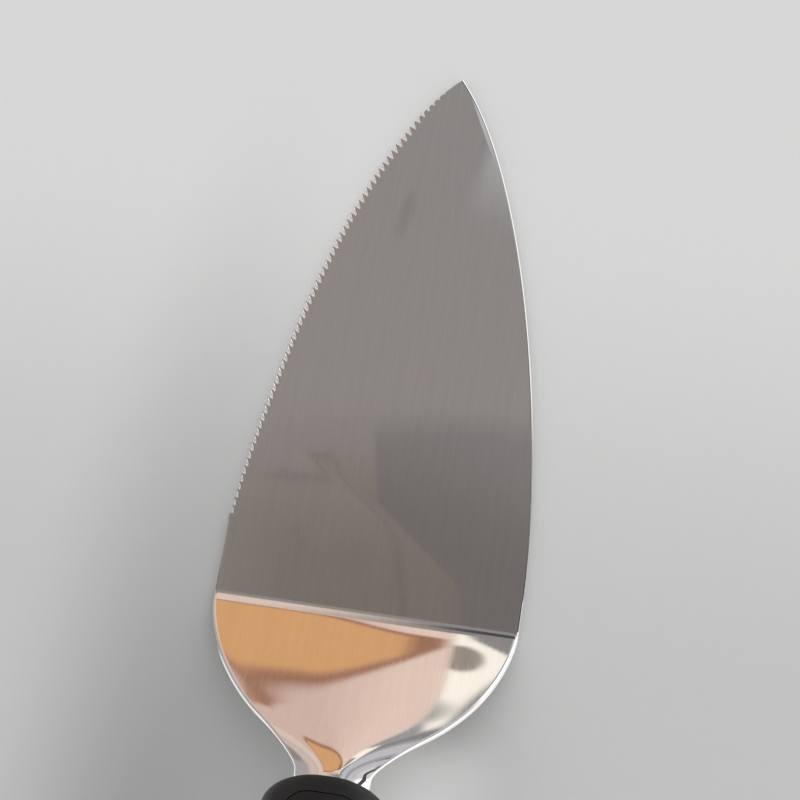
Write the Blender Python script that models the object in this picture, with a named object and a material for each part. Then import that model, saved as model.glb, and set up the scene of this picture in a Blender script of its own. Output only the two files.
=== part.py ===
"""Cake lifter: one stamped steel sheet, blade, shoulder and tang, held in a hollow moulded handle.

Metres, +Z up. The flat blade lies on z = 0 with its point towards +Y, and the handle rises towards -Y.
The origin is on the blade's underside, on its centre line, halfway from the crease to the point.
"""

import math

import bmesh
import bpy
from mathutils import Matrix, Vector
from mathutils.geometry import interpolate_bezier

# Clearance between pieces that touch, and how far every cutter runs past what it cuts
GAP = 0.0003
OVERRUN = 0.004

# The sheet and its flat outline, measured from the crease
SHEET = 0.0015
BLADE_LENGTH = 0.126
BLADE_HALF_WIDTH = 0.030
POINT_OFFSET = 0.0011
HEEL_STRAIGHT = 0.008
EDGE_STEP = 0.0002
RIGHT_EDGE_SHARES = ((0.599, 0.831), (1.0, 0.347))
LEFT_EDGE_SHARES = ((-0.682, 0.826), (-0.953, 0.332))
EDGE_POINTS = 26

# The shoulder narrows to the neck: shares of the narrowing, and of the shoulder's length
SHOULDER_LENGTH = 0.0411
NECK_HALF_WIDTH = 0.0074
SHOULDER_WIDE_SHARES = ((1.0, 0.0), (1.0, 0.066), (0.9, 0.428), (0.364, 0.724))
SHOULDER_NARROW_SHARES = ((0.364, 0.724), (0.2, 0.815), (0.0, 0.963), (0.0, 1.0))
SHOULDER_POINTS = 11
# The neck and the handle stand a little to the right of the blade's middle
NECK_SWAY = 0.0004
SWAY_LENGTH = 0.025

# The pressed rise from the crease up to the handle, along the underside's centre line
CREASE_BEND = 0.0005
CREASE_ANGLE = math.radians(21)
NECK_ANGLE = math.radians(21)
HANDLE_ANGLE = math.radians(12)
RISE_LENGTH = 0.0448
RISE_BULGE = math.radians(6.5)
CURVE_POINTS = 160

# The sheet's turned-down sides, deepest where the neck enters the handle
RIM_BAND = 0.006
RIM_BAND_SHARE = 0.82
RIM_DEPTH = 0.0045
RIM_POWER = 2.4
RIM_GROWTH_POWER = 7.0
RIM_COLUMN_SHARES = (0.0, 0.1, 0.22, 0.36, 0.54, 0.76, 1.0)
INNER_COLUMN_SHARES = (0.5,)

# The flat tang inside the handle
TANG_LENGTH = 0.034
TANG_HALF_WIDTH = 0.006
TANG_NARROWING = 0.006
TANG_FLATTENING = 0.010
TANG_ROWS = 5

# Scallops ground into the left edge, each by a wheel that climbs inwards and towards the handle
SCALLOP_START = 0.0172
SCALLOP_PITCH = 0.00178
SCALLOP_RADIUS = 0.00095
SCALLOP_DEPTH = 0.0004
SCALLOP_DEPTH_SHARES = ((0.0, 0.5), (0.25, 1.0), (0.84, 1.0), (0.97, -1.2), (1.0, -1.6))
SCALLOP_CLEAR = 0.002
SCALLOP_HEADING = math.radians(-40)
SCALLOP_RAMP = math.radians(50)
SCALLOP_REACH = 0.004
SCALLOP_SIDES = 12

# Handle: half widths and half thicknesses at the named places, and its slight bow
HANDLE_LENGTH = 0.102
HANDLE_DROP = 0.0008
FRONT_HALF_WIDTH = 0.0117
WAIST_HALF_WIDTH = 0.0112
BELLY_HALF_WIDTH = 0.0130
BUTT_HALF_WIDTH = 0.0105
FRONT_HALF_THICKNESS = 0.0078
WAIST_HALF_THICKNESS = 0.0082
BELLY_HALF_THICKNESS = 0.0092
BUTT_HALF_THICKNESS = 0.0066
WAIST_SHARE = 0.22
BELLY_SHARE = 0.60
HANDLE_BOW = 0.0025
SECTION_POWER = 2.6
NOSE_LENGTH = 0.006
NOSE_HEIGHT = 0.003
BUTT_ROUNDING = 0.009
BUTT_HEIGHT = 0.003
NOSE_POWER = 2.5
FACET_SHARE = 0.04
RING_POINTS = 36

# Handle body
WALL = 0.0020
FRONT_WALL = 0.0055

# Grip pad, let into the body's top
PAD_START = 0.0045
PAD_BEFORE_CAP = 0.0175
PAD_HALF_WIDTH = 0.0072
PAD_CORNER = 0.0045
PAD_RECESS = 0.0010
PAD_PROUD = 0.0002
CORNER_POINTS = 7

# Tang core and the two pins that lock the tang in it
CORE_LENGTH = 0.032
PIN_RADIUS = 0.0015
PIN_CLEARANCE = 0.0003
PIN_FRONT_PLACE = 0.0125
PIN_REAR_PLACE = 0.0265
PIN_SINK = 0.0003
PIN_SIDES = 24

# End cap with its hanging slot
SPIGOT_LENGTH = 0.007
CAP_WALL = 0.0016
SLOT_HALF_LENGTH = 0.0050
SLOT_HALF_WIDTH = 0.0032
SLOT_FROM_BUTT = 0.0100
SLOT_BEHIND_SEAM = 0.003


for old_object in list(bpy.data.objects):
    bpy.data.objects.remove(old_object, do_unlink=True)


def finish(name, colour, roughness, metallic):
    """A plain surface of one colour."""
    surface = bpy.data.materials.new(name)
    surface.use_nodes = True
    shader = surface.node_tree.nodes["Principled BSDF"]
    shader.inputs["Base Color"].default_value = (*colour, 1.0)
    shader.inputs["Roughness"].default_value = roughness
    shader.inputs["Metallic"].default_value = metallic
    return surface


def place(name, mesh, surface, parent):
    """A closed bmesh as one named object under its parent, with its faces pointing out."""
    bmesh.ops.recalc_face_normals(mesh, faces=mesh.faces)
    data = bpy.data.meshes.new(name)
    mesh.to_mesh(data)
    mesh.free()
    data.shade_smooth()
    data.set_sharp_from_angle(angle=math.radians(35))
    if surface:
        data.materials.append(surface)
    thing = bpy.data.objects.new(name, data)
    thing.parent = parent
    bpy.context.scene.collection.objects.link(thing)
    return thing


def guide(name, mesh, parent):
    """A shape that only cuts others."""
    cutter = place(name, mesh, None, parent)
    cutter.hide_render = True
    cutter.display_type = "WIRE"
    return cutter


def combine(target, tool, operation):
    """Cut, join or trim the target with the tool."""
    step = target.modifiers.new(f"{operation.lower()}_{tool.name}", "BOOLEAN")
    step.operation = operation
    step.object = tool
    step.solver = "EXACT"


def empty(name, location, tilt, parent):
    """A frame that pieces hang on."""
    axes = bpy.data.objects.new(name, None)
    axes.location = location
    axes.rotation_euler = (tilt, 0.0, 0.0)
    axes.parent = parent
    bpy.context.scene.collection.objects.link(axes)
    return axes


def lerp_table(table, place_value):
    """Read a value from rising (place, value) pairs by straight interpolation, held at both ends."""
    if place_value <= table[0][0]:
        return table[0][1]
    for (start, before), (end, after) in zip(table, table[1:]):
        if place_value <= end:
            return before + (after - before) * (place_value - start) / (end - start)
    return table[-1][1]


def eased_table(table, place_value):
    """The same, with every stretch eased in and out."""
    for (start, before), (end, after) in zip(table, table[1:]):
        if place_value <= end:
            share = max(0.0, (place_value - start) / (end - start))
            return before + (after - before) * share * share * (3 - 2 * share)
    return table[-1][1]


# The sheet's centre line and its pressed form

NECK_ARC = RISE_LENGTH
FLAT_ARC = NECK_ARC + TANG_FLATTENING
TANG_END = NECK_ARC + TANG_LENGTH


def pitch(arc):
    """Slope of the centre line: it swells between crease and neck, then eases to the handle's slope."""
    if arc <= NECK_ARC:
        share = arc / NECK_ARC
        swell = share * math.sqrt(3 - 3 * share) * 3 / 2
        return CREASE_ANGLE + (NECK_ANGLE - CREASE_ANGLE) * share + RISE_BULGE * swell
    share = (arc - NECK_ARC) / TANG_FLATTENING
    return NECK_ANGLE + (HANDLE_ANGLE - NECK_ANGLE) * share * share * (3 - 2 * share)


RISE_STEP = FLAT_ARC / CURVE_POINTS
RISE_CURVE = [Vector((0.0, 0.0))]
for index in range(CURVE_POINTS):
    slope = pitch(RISE_STEP * (index + 1 / 2))
    RISE_CURVE.append(RISE_CURVE[-1] + Vector((-math.cos(slope), math.sin(slope))) * RISE_STEP)


def centre_point(arc):
    """Point (y, z) on the underside's centre line, an arc length behind the crease."""
    if arc <= 0.0:
        return Vector((-arc, 0.0))
    if arc >= FLAT_ARC:
        beyond = arc - FLAT_ARC
        return RISE_CURVE[-1] + Vector((-math.cos(HANDLE_ANGLE), math.sin(HANDLE_ANGLE))) * beyond
    index = int(arc / RISE_STEP)
    return RISE_CURVE[index].lerp(RISE_CURVE[index + 1], arc / RISE_STEP - index)


def shoulder_point(shares):
    """Half width and arc length at one point of the shoulder's outline."""
    wide, along = shares
    return Vector((NECK_HALF_WIDTH + (BLADE_HALF_WIDTH - NECK_HALF_WIDTH) * wide, SHOULDER_LENGTH * along))


SHOULDER_OUTLINE = (
    interpolate_bezier(*[shoulder_point(shares) for shares in SHOULDER_WIDE_SHARES], SHOULDER_POINTS)
    + interpolate_bezier(*[shoulder_point(shares) for shares in SHOULDER_NARROW_SHARES], SHOULDER_POINTS)[1:]
)
HALF_WIDTHS = [(arc, half) for half, arc in SHOULDER_OUTLINE] + [
    (max(NECK_ARC, SHOULDER_LENGTH + GAP), NECK_HALF_WIDTH),
    (max(NECK_ARC, SHOULDER_LENGTH + GAP) + TANG_NARROWING, TANG_HALF_WIDTH),
    (TANG_END, TANG_HALF_WIDTH),
]


def rim_drop(x, arc):
    """How far the turned-down side lies below the centre line's surface."""
    if arc <= 0.0:
        return 0.0
    growth = (min(arc, NECK_ARC) / NECK_ARC) ** RIM_GROWTH_POWER
    flattened = min(1.0, max(0.0, (arc - NECK_ARC) / TANG_FLATTENING))
    depth = RIM_DEPTH * growth * (1 - flattened * flattened * (3 - 2 * flattened))
    half = lerp_table(HALF_WIDTHS, arc)
    band = min(RIM_BAND, RIM_BAND_SHARE * half)
    return depth * max(0.0, 1 - (half - abs(x)) / band) ** RIM_POWER


def top_skin(x, arc):
    """Point of the pressed sheet's upper face for a place on the flat pattern."""
    y, z = centre_point(arc)
    swayed = min(1.0, max(0.0, arc / SWAY_LENGTH))
    sway = NECK_SWAY * swayed * swayed * (3 - 2 * swayed)
    return Vector((x + sway, y, SHEET + z - rim_drop(x, arc)))


def pressed(flat):
    """Bend a point (x, -arc, height) of the flat pattern into the pressed sheet."""
    x, arc, height = flat.x, -flat.y, flat.z
    across = top_skin(x + CREASE_BEND, arc) - top_skin(x - CREASE_BEND, arc)
    forward = top_skin(x, arc - CREASE_BEND) - top_skin(x, arc + CREASE_BEND)
    return top_skin(x, arc) - across.cross(forward).normalized() * (SHEET - height)


def row_of_places(arc, grow):
    """Places across one row of the flat pattern, close together in the turned-down sides."""
    half = lerp_table(HALF_WIDTHS, arc)
    band = min(RIM_BAND, RIM_BAND_SHARE * half)
    outer = [half + grow] + [half - band * share for share in RIM_COLUMN_SHARES[1:]]
    right = outer + [(half - band) * share for share in INNER_COLUMN_SHARES]
    return [-x for x in right] + [0.0] + right[::-1]


def sheet_through(arcs, grow, leaf):
    """The pressed sheet through rows of the flat pattern, with the flat leaf ahead of them if given."""
    mesh = bmesh.new()
    grid = [[mesh.verts.new((x, -arc, -grow)) for x in row_of_places(arc, grow)] for arc in arcs]
    for front, back in zip(grid, grid[1:]):
        for left_front, right_front, right_back, left_back in zip(front, front[1:], back[1:], back):
            mesh.faces.new((left_front, right_front, right_back, left_back))
    if leaf:
        mesh.faces.new(grid[0] + [mesh.verts.new((point.x, point.y, -grow)) for point in leaf])
    raised = bmesh.ops.extrude_face_region(mesh, geom=mesh.faces[:])["geom"]
    top = [piece for piece in raised if isinstance(piece, bmesh.types.BMVert)]
    bmesh.ops.translate(mesh, verts=top, vec=(0.0, 0.0, SHEET + 2 * grow))
    for point in mesh.verts:
        point.co = pressed(point.co)
    return mesh


def edge_curve(side, heel, handle_shares, points):
    """One side of the leaf's outline from its straight heel to the point."""
    near_point, near_heel = [
        Vector((BLADE_HALF_WIDTH * across, BLADE_LENGTH * along)) for across, along in handle_shares
    ]
    point = Vector((POINT_OFFSET, BLADE_LENGTH))
    return interpolate_bezier(Vector((side, heel)), near_heel, near_point, point, points)


# Blade: the whole steel sheet, in one piece from its point to the end of the tang

crease = empty("crease", (0.0, -BLADE_LENGTH / 2, 0.0), 0.0, None)
handle_base = centre_point(NECK_ARC) - Vector((math.sin(HANDLE_ANGLE), math.cos(HANDLE_ANGLE))) * HANDLE_DROP
handle = empty("handle_axis", (NECK_SWAY, *handle_base), -HANDLE_ANGLE, crease)

steel = finish("brushed_steel", (0.55, 0.53, 0.52), 0.28, 1.0)
TANG_ARCS = [NECK_ARC + TANG_FLATTENING * row / TANG_ROWS for row in range(TANG_ROWS + 1)]

shoulder_arcs = [arc for _, arc in SHOULDER_OUTLINE if arc > CREASE_BEND]
right_edge = edge_curve(BLADE_HALF_WIDTH, HEEL_STRAIGHT, RIGHT_EDGE_SHARES, EDGE_POINTS)
left_edge = edge_curve(EDGE_STEP - BLADE_HALF_WIDTH, SCALLOP_START, LEFT_EDGE_SHARES, EDGE_POINTS)
left_heel = Vector((-BLADE_HALF_WIDTH, SCALLOP_START))
blade_arcs = [-CREASE_BEND, 0.0, CREASE_BEND] + shoulder_arcs + TANG_ARCS + [TANG_END]
blade_mesh = sheet_through(blade_arcs, 0.0, right_edge + left_edge[-2::-1] + [left_heel])
blade = place("blade", blade_mesh, steel, crease)


def along_edge(edge, distance):
    """The point a distance along an outline from its first point."""
    for start, end in zip(edge, edge[1:]):
        step = (end - start).length
        if distance <= step:
            return start.lerp(end, distance / step)
        distance -= step
    return edge[-1]


def scallop(mesh, edge, distance, length):
    """One groove across the edge with a round floor and an open top, climbing inwards."""
    depth = SCALLOP_DEPTH * lerp_table(SCALLOP_DEPTH_SHARES, distance / length)
    heading = Vector((math.cos(SCALLOP_HEADING), math.sin(SCALLOP_HEADING), 0.0))
    climb = heading * math.cos(SCALLOP_RAMP) + Vector((0.0, 0.0, math.sin(SCALLOP_RAMP)))
    floor_side = heading * math.sin(SCALLOP_RAMP) - Vector((0.0, 0.0, math.cos(SCALLOP_RAMP)))
    centre = along_edge(edge, distance).to_3d() + heading * depth - floor_side * SCALLOP_RADIUS
    aim = Matrix((floor_side, climb.cross(floor_side), climb)).transposed().to_4x4()
    wheel = bmesh.ops.create_cone(
        mesh,
        cap_ends=True,
        segments=SCALLOP_SIDES,
        radius1=SCALLOP_RADIUS,
        radius2=SCALLOP_RADIUS,
        depth=2 * SCALLOP_REACH,
        matrix=Matrix.Translation(centre) @ aim,
    )["verts"]
    outer = [point for point in wheel if (point.co - centre).dot(floor_side) < -SCALLOP_RADIUS / 4]
    bmesh.ops.translate(mesh, verts=outer, vec=floor_side * -SCALLOP_CLEAR)


edge_length = sum((end - start).length for start, end in zip(left_edge, left_edge[1:]))
scallop_count = int(edge_length / SCALLOP_PITCH)
for first, name in enumerate(("scallops_even", "scallops_odd")):
    grooves = bmesh.new()
    for index in range(first, scallop_count, 2):
        scallop(grooves, left_edge, SCALLOP_PITCH * (index + 1 / 2), edge_length)
    combine(blade, guide(name, grooves, crease), "DIFFERENCE")


# Handle: every piece of it follows one set of cross-sections

WIDTHS = (
    (0.0, FRONT_HALF_WIDTH),
    (WAIST_SHARE, WAIST_HALF_WIDTH),
    (BELLY_SHARE, BELLY_HALF_WIDTH),
    (1.0, BUTT_HALF_WIDTH),
)
THICKNESSES = (
    (0.0, FRONT_HALF_THICKNESS),
    (WAIST_SHARE, WAIST_HALF_THICKNESS),
    (BELLY_SHARE, BELLY_HALF_THICKNESS),
    (1.0, BUTT_HALF_THICKNESS),
)
NOSE_SHARES = (0.0, 0.04, 0.12, 0.25, 0.42, 0.65, 1.0)
MIDDLE_SHARES = (0.0, 0.1, 0.22, 0.34, 0.46, 0.58, 0.7, 0.8, 0.9, 1.0)
middle_length = HANDLE_LENGTH - NOSE_LENGTH - BUTT_ROUNDING
STATIONS = (
    [NOSE_LENGTH * share for share in NOSE_SHARES]
    + [NOSE_LENGTH + middle_length * share for share in MIDDLE_SHARES[1:-1]]
    + [HANDLE_LENGTH - BUTT_ROUNDING * share for share in NOSE_SHARES[::-1]]
)


def rounding(nearness):
    """How much of the full section is left: 1 away from an end, falling to nothing at nearness 1."""
    return (1 - max(0.0, nearness) ** NOSE_POWER) ** (1 / NOSE_POWER)


def section(back):
    """Half width, half thickness and rise of the handle, a distance behind its front."""
    share = min(1.0, back / HANDLE_LENGTH)
    ahead = HANDLE_LENGTH - back
    plan = rounding((1 - FACET_SHARE) * (1 - back / NOSE_LENGTH))
    plan *= rounding((1 - FACET_SHARE) * (1 - ahead / BUTT_ROUNDING))
    side = NOSE_HEIGHT * (1 - rounding(1 - back / NOSE_HEIGHT))
    side += BUTT_HEIGHT * (1 - rounding(1 - ahead / BUTT_ROUNDING))
    rise = HANDLE_BOW * math.sin(math.pi * share)
    return eased_table(WIDTHS, share) * plan, eased_table(THICKNESSES, share) - side, rise


def ring(back, offset):
    """Points around the handle at one place, a distance outside its skin."""
    half_width, half_thickness, rise = section(back)
    points = []
    for index in range(RING_POINTS):
        turn = 2 * math.pi * index / RING_POINTS
        across = math.copysign(abs(math.cos(turn)) ** (2 / SECTION_POWER), math.cos(turn))
        height = math.copysign(abs(math.sin(turn)) ** (2 / SECTION_POWER), math.sin(turn))
        points.append(((half_width + offset) * across, -back, (half_thickness + offset) * height + rise))
    return points


def length_of_handle(start, end, offset):
    """A closed length of the handle's form, grown or shrunk by an offset."""
    mesh = bmesh.new()
    backs = [start] + [back for back in STATIONS if start < back < end] + [end]
    rings = [[mesh.verts.new(point) for point in ring(back, offset)] for back in backs]
    for front, behind in zip(rings, rings[1:]):
        for index in range(RING_POINTS):
            after = (index + 1) % RING_POINTS
            mesh.faces.new((front[index], front[after], behind[after], behind[index]))
    mesh.faces.new(rings[0])
    mesh.faces.new(rings[-1][::-1])
    return mesh


def upright_rod(radius, back, low, high):
    """A rod square to the handle's length, on its centre line."""
    mesh = bmesh.new()
    bmesh.ops.create_cone(
        mesh,
        cap_ends=True,
        segments=PIN_SIDES,
        radius1=radius,
        radius2=radius,
        depth=high - low,
        matrix=Matrix.Translation((0.0, -back, (low + high) / 2)),
    )
    return mesh


def upright_slab(half_width, front, back, corner, low, high):
    """An upright block with rounded corners, between two places behind the handle's front."""
    mesh = bmesh.new()
    points = []
    for quarter, (side, end) in enumerate(((1, -front), (-1, -front), (-1, -back), (1, -back))):
        inward = -1 if quarter < 2 else 1
        centre = Vector((side * (half_width - corner), end + inward * corner, low))
        for step in range(CORNER_POINTS):
            turn = math.pi / 2 * (quarter + step / (CORNER_POINTS - 1))
            points.append(mesh.verts.new(centre + Vector((math.cos(turn), math.sin(turn), 0.0)) * corner))
    mesh.faces.new(points)
    raised = bmesh.ops.extrude_face_region(mesh, geom=mesh.faces[:])["geom"]
    top = [piece for piece in raised if isinstance(piece, bmesh.types.BMVert)]
    bmesh.ops.translate(mesh, verts=top, vec=(0.0, 0.0, high - low))
    return mesh


black = finish("matte_black_plastic", (0.021, 0.020, 0.020), 0.52, 0.0)
soft_black = finish("soft_black_rubber", (0.016, 0.015, 0.015), 0.72, 0.0)
grey = finish("grey_plastic", (0.25, 0.25, 0.26), 0.6, 0.0)
bright = finish("bright_steel", (0.6, 0.6, 0.6), 0.3, 1.0)

slot_arcs = [NECK_ARC - OVERRUN] + TANG_ARCS + [TANG_END + GAP]
slot = guide("tang_slot", sheet_through(slot_arcs, GAP, None), crease)

# Handle body: a hollow moulding, open at its butt, with a slot for the neck in its front

slot_front = HANDLE_LENGTH - SLOT_FROM_BUTT - SLOT_HALF_LENGTH
BODY_LENGTH = slot_front - SLOT_BEHIND_SEAM
body = place("handle_body", length_of_handle(0.0, BODY_LENGTH, 0.0), black, handle)
cavity = guide("body_cavity", length_of_handle(FRONT_WALL, BODY_LENGTH + OVERRUN, -WALL), handle)
combine(body, cavity, "DIFFERENCE")
combine(body, slot, "DIFFERENCE")

# Grip pad: let into the body's top over its own recess

PAD_END = BODY_LENGTH - PAD_BEFORE_CAP
pad_top = BELLY_HALF_THICKNESS + HANDLE_BOW + OVERRUN
recess = guide(
    "pad_recess", upright_slab(PAD_HALF_WIDTH, PAD_START, PAD_END, PAD_CORNER, 0.0, pad_top), handle
)
recess_floor = guide("recess_floor", length_of_handle(0.0, BODY_LENGTH, -PAD_RECESS), handle)
combine(recess, recess_floor, "DIFFERENCE")
combine(body, recess, "DIFFERENCE")

pad_mesh = upright_slab(PAD_HALF_WIDTH - GAP, PAD_START + GAP, PAD_END - GAP, PAD_CORNER - GAP, 0.0, pad_top)
pad = place("grip_pad", pad_mesh, soft_black, handle)
combine(pad, guide("pad_skin", length_of_handle(0.0, BODY_LENGTH, PAD_PROUD), handle), "INTERSECT")
combine(pad, guide("pad_back", length_of_handle(0.0, BODY_LENGTH, GAP - PAD_RECESS), handle), "DIFFERENCE")

# Tang core: the block that fills the front of the cavity and grips the tang

core_start = FRONT_WALL + GAP
core = place("tang_core", length_of_handle(core_start, core_start + CORE_LENGTH, -WALL - GAP), grey, handle)
combine(core, slot, "DIFFERENCE")

# Tang pins: driven down from the recess floor, through core and tang

for name, back in (("tang_pin_front", PIN_FRONT_PLACE), ("tang_pin_rear", PIN_REAR_PLACE)):
    half_width, half_thickness, rise = section(back)
    head = rise + half_thickness - PAD_RECESS - PIN_SINK
    foot = rise - half_thickness + WALL + GAP
    place(name, upright_rod(PIN_RADIUS, back, foot, head), bright, handle)
    hole_radius = PIN_RADIUS + PIN_CLEARANCE
    hole = guide(f"{name}_hole", upright_rod(hole_radius, back, foot, head + OVERRUN), handle)
    core_hole = guide(f"{name}_core_hole", upright_rod(hole_radius, back, foot - OVERRUN, head + OVERRUN), handle)
    combine(body, hole, "DIFFERENCE")
    combine(core, core_hole, "DIFFERENCE")
    combine(blade, core_hole, "DIFFERENCE")

# End cap: closes the butt with a spigot in the cavity, and has the hanging slot

cap = place("end_cap", length_of_handle(BODY_LENGTH + GAP, HANDLE_LENGTH, 0.0), black, handle)
spigot = guide(
    "cap_spigot", length_of_handle(BODY_LENGTH - SPIGOT_LENGTH, BODY_LENGTH + OVERRUN, -WALL - GAP), handle
)
combine(cap, spigot, "UNION")
cap_hollow = guide(
    "cap_hollow",
    length_of_handle(BODY_LENGTH - SPIGOT_LENGTH - OVERRUN, slot_front - CAP_WALL, -WALL - GAP - CAP_WALL),
    handle,
)
combine(cap, cap_hollow, "DIFFERENCE")
hanging_slot = guide(
    "hanging_slot",
    upright_slab(
        SLOT_HALF_WIDTH,
        slot_front,
        slot_front + 2 * SLOT_HALF_LENGTH,
        SLOT_HALF_WIDTH * (1 - FACET_SHARE),
        -BUTT_HALF_THICKNESS - OVERRUN,
        BUTT_HALF_THICKNESS + HANDLE_BOW + OVERRUN,
    ),
    handle,
)
combine(cap, hanging_slot, "DIFFERENCE")
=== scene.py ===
"""The cake lifter's looks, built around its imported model.

Metres, +Z up. The flat blade lies on z = 0 with its point towards +Y, and the handle rises towards -Y.
The origin is on the blade's underside, halfway from its crease to its point.
"""

import math

import bmesh
import bpy
from mathutils import Matrix, Vector
from mathutils.geometry import interpolate_bezier


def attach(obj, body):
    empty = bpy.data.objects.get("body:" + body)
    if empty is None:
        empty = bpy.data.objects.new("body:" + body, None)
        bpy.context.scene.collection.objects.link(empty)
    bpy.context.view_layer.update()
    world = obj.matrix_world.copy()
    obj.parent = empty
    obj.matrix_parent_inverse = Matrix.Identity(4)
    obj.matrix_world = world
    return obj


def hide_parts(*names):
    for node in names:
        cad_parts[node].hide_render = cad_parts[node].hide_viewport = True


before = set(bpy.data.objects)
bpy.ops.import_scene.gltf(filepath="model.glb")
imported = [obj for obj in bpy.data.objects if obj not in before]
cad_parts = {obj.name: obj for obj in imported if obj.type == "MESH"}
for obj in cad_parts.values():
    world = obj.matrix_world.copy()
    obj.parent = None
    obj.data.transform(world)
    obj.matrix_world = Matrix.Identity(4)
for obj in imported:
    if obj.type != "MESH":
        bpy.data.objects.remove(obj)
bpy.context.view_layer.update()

view = bpy.context.scene
view.view_settings.view_transform = "Standard"

# Camera: it looks down on the lifter from behind the handle, slightly from its right.
# The photograph's frame is square and cuts the handle off just behind its front rim.

CAMERA_AZIMUTH = math.radians(8.9128)
CAMERA_ELEVATION = math.radians(64)
CAMERA_DISTANCE = 0.461115
CAMERA_TARGET = Vector((-0.000476, -0.01595, 0.0015))
CAMERA_LENS = 102.08
CAMERA_SENSOR = 36
CAMERA_NEAR = 0.01

camera_back = Vector(
    (
        math.sin(CAMERA_AZIMUTH) * math.cos(CAMERA_ELEVATION),
        -math.cos(CAMERA_AZIMUTH) * math.cos(CAMERA_ELEVATION),
        math.sin(CAMERA_ELEVATION),
    )
)
camera = bpy.data.objects.new("camera", bpy.data.cameras.new("camera"))
camera.data.lens = CAMERA_LENS
camera.data.sensor_width = CAMERA_SENSOR
camera.data.clip_start = CAMERA_NEAR
camera.location = CAMERA_TARGET + camera_back * CAMERA_DISTANCE
camera.rotation_mode = "QUATERNION"
camera.rotation_quaternion = (-camera_back).to_track_quat("-Z", "Y")
view.collection.objects.link(camera)
view.camera = camera

# Floor: a plain pale table top, matte, a little darker towards the near side, with a painted soft shadow
# left of the lifter and a painted patch of light right of its neck.
# It is one large sheet under the lifter, and no part of it. What the steel mirrors of it glows a little:
# painted light, with painted shade left in it under and left of the blade.

FLOOR_HALF = 3.0
FLOOR_DROP = 0.00002
FLOOR_COLOUR = (0.966, 0.960, 0.957)
FLOOR_ROUGHNESS = 0.9
FLOOR_SHARE = 0.70
NEAR_FADE = 0.80
FADE_START, FADE_END = -0.07, 0.041
MOTTLE_SCALE = 260.0
MOTTLE_BAND = (0.3, 0.7)
MOTTLE_LEVELS = (0.994, 1.006)
SHADE_CENTRE = (-0.036, -0.13)
SHADE_RADII = (0.036, 0.20)
SHADE_LEVEL = 0.64
PAINTED_FLOOR_GLOW = 0.75
SHADE_UNDER_HALF = 0.026
SHADE_UNDER_START, SHADE_UNDER_END = -0.108, -0.064
LEFT_DARK_X, LEFT_DARK_Y = -0.020, -0.075
GLOW_SOFTNESS = 0.004
LIT_PATCH_INNER, LIT_PATCH_OUTER = 0.012, 0.034
LIT_PATCH_START, LIT_PATCH_END = -0.080, -0.092
LIT_PATCH_EDGE = 0.008
LIT_PATCH_GAIN = 0.55


class Nodes:
    """Short ways to add shader nodes to one tree."""

    def __init__(self, tree):
        self.tree = tree

    def plug(self, value, socket):
        """Join a socket's value, or set it where it is a plain number or colour."""
        if isinstance(value, bpy.types.NodeSocket):
            self.tree.links.new(value, socket)
        elif isinstance(value, tuple):
            socket.default_value = (*value, 1.0)[: len(socket.default_value)]
        else:
            socket.default_value = value

    def add(self, kind, output=0, **inputs):
        """One node's output, with its inputs by name."""
        node = self.tree.nodes.new(kind)
        for name, value in inputs.items():
            self.plug(value, node.inputs[name])
        return node.outputs[output]

    def math(self, operation, first, second=0.0):
        """One Math node's output."""
        node = self.tree.nodes.new("ShaderNodeMath")
        node.operation = operation
        self.plug(first, node.inputs[0])
        self.plug(second, node.inputs[1])
        return node.outputs[0]

    def times(self, *values):
        """The product of values."""
        product = values[0]
        for value in values[1:]:
            product = self.math("MULTIPLY", product, value)
        return product

    def line(self, value, slope, start):
        """A straight line of a value."""
        return self.math("ADD", self.math("MULTIPLY", value, slope), start)

    def step(self, value, low, high, start=0.0, end=1.0):
        """From start at low to end at high, eased between them and level outside."""
        node = self.tree.nodes.new("ShaderNodeMapRange")
        node.interpolation_type = "SMOOTHSTEP"
        for level, name in ((low, "From Min"), (high, "From Max"), (start, "To Min"), (end, "To Max")):
            node.inputs[name].default_value = level
        self.plug(value, node.inputs["Value"])
        return node.outputs[0]

    def between(self, value, low, high, soft):
        """1 between two values and 0 outside them, with soft ends."""
        rise = self.step(value, low - soft / 2, low + soft / 2)
        fall = self.step(value, high - soft / 2, high + soft / 2, 1.0, 0.0)
        return self.math("MULTIPLY", rise, fall)

    def mix(self, share, first, second):
        """Two colours mixed by a share."""
        node = self.tree.nodes.new("ShaderNodeMix")
        node.data_type = "RGBA"
        sockets = {socket.name: socket for socket in node.inputs if socket.type == "RGBA"}
        self.plug(share, node.inputs["Factor"])
        self.plug(first, sockets["A"])
        self.plug(second, sockets["B"])
        return [socket for socket in node.outputs if socket.type == "RGBA"][0]

    def place(self):
        """A material's Object coordinates."""
        return self.tree.nodes.new("ShaderNodeTexCoord").outputs["Object"]

    def split(self, vector):
        """A vector's x, y and z."""
        node = self.tree.nodes.new("ShaderNodeSeparateXYZ")
        self.plug(vector, node.inputs[0])
        return node.outputs["X"], node.outputs["Y"], node.outputs["Z"]

    def noise(self, place, scale=1.0, detail=3.0, roughness=0.6):
        """A noise pattern's value."""
        return self.add("ShaderNodeTexNoise", Vector=place, Scale=scale, Detail=detail, Roughness=roughness)


def surface(name, colour, roughness, metallic=0.0):
    """A material with one shader, and its node tools and shader to build on."""
    made = bpy.data.materials.new(name)
    made.use_nodes = True
    shader = made.node_tree.nodes["Principled BSDF"]
    shader.inputs["Base Color"].default_value = (*colour, 1.0)
    shader.inputs["Roughness"].default_value = roughness
    shader.inputs["Metallic"].default_value = metallic
    return made, Nodes(made.node_tree), shader


def piece(name, mesh, material):
    """A bmesh as an object at the origin, with its material."""
    data = bpy.data.meshes.new(name)
    mesh.to_mesh(data)
    mesh.free()
    data.materials.append(material)
    made = bpy.data.objects.new(name, data)
    view.collection.objects.link(made)
    return made


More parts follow.
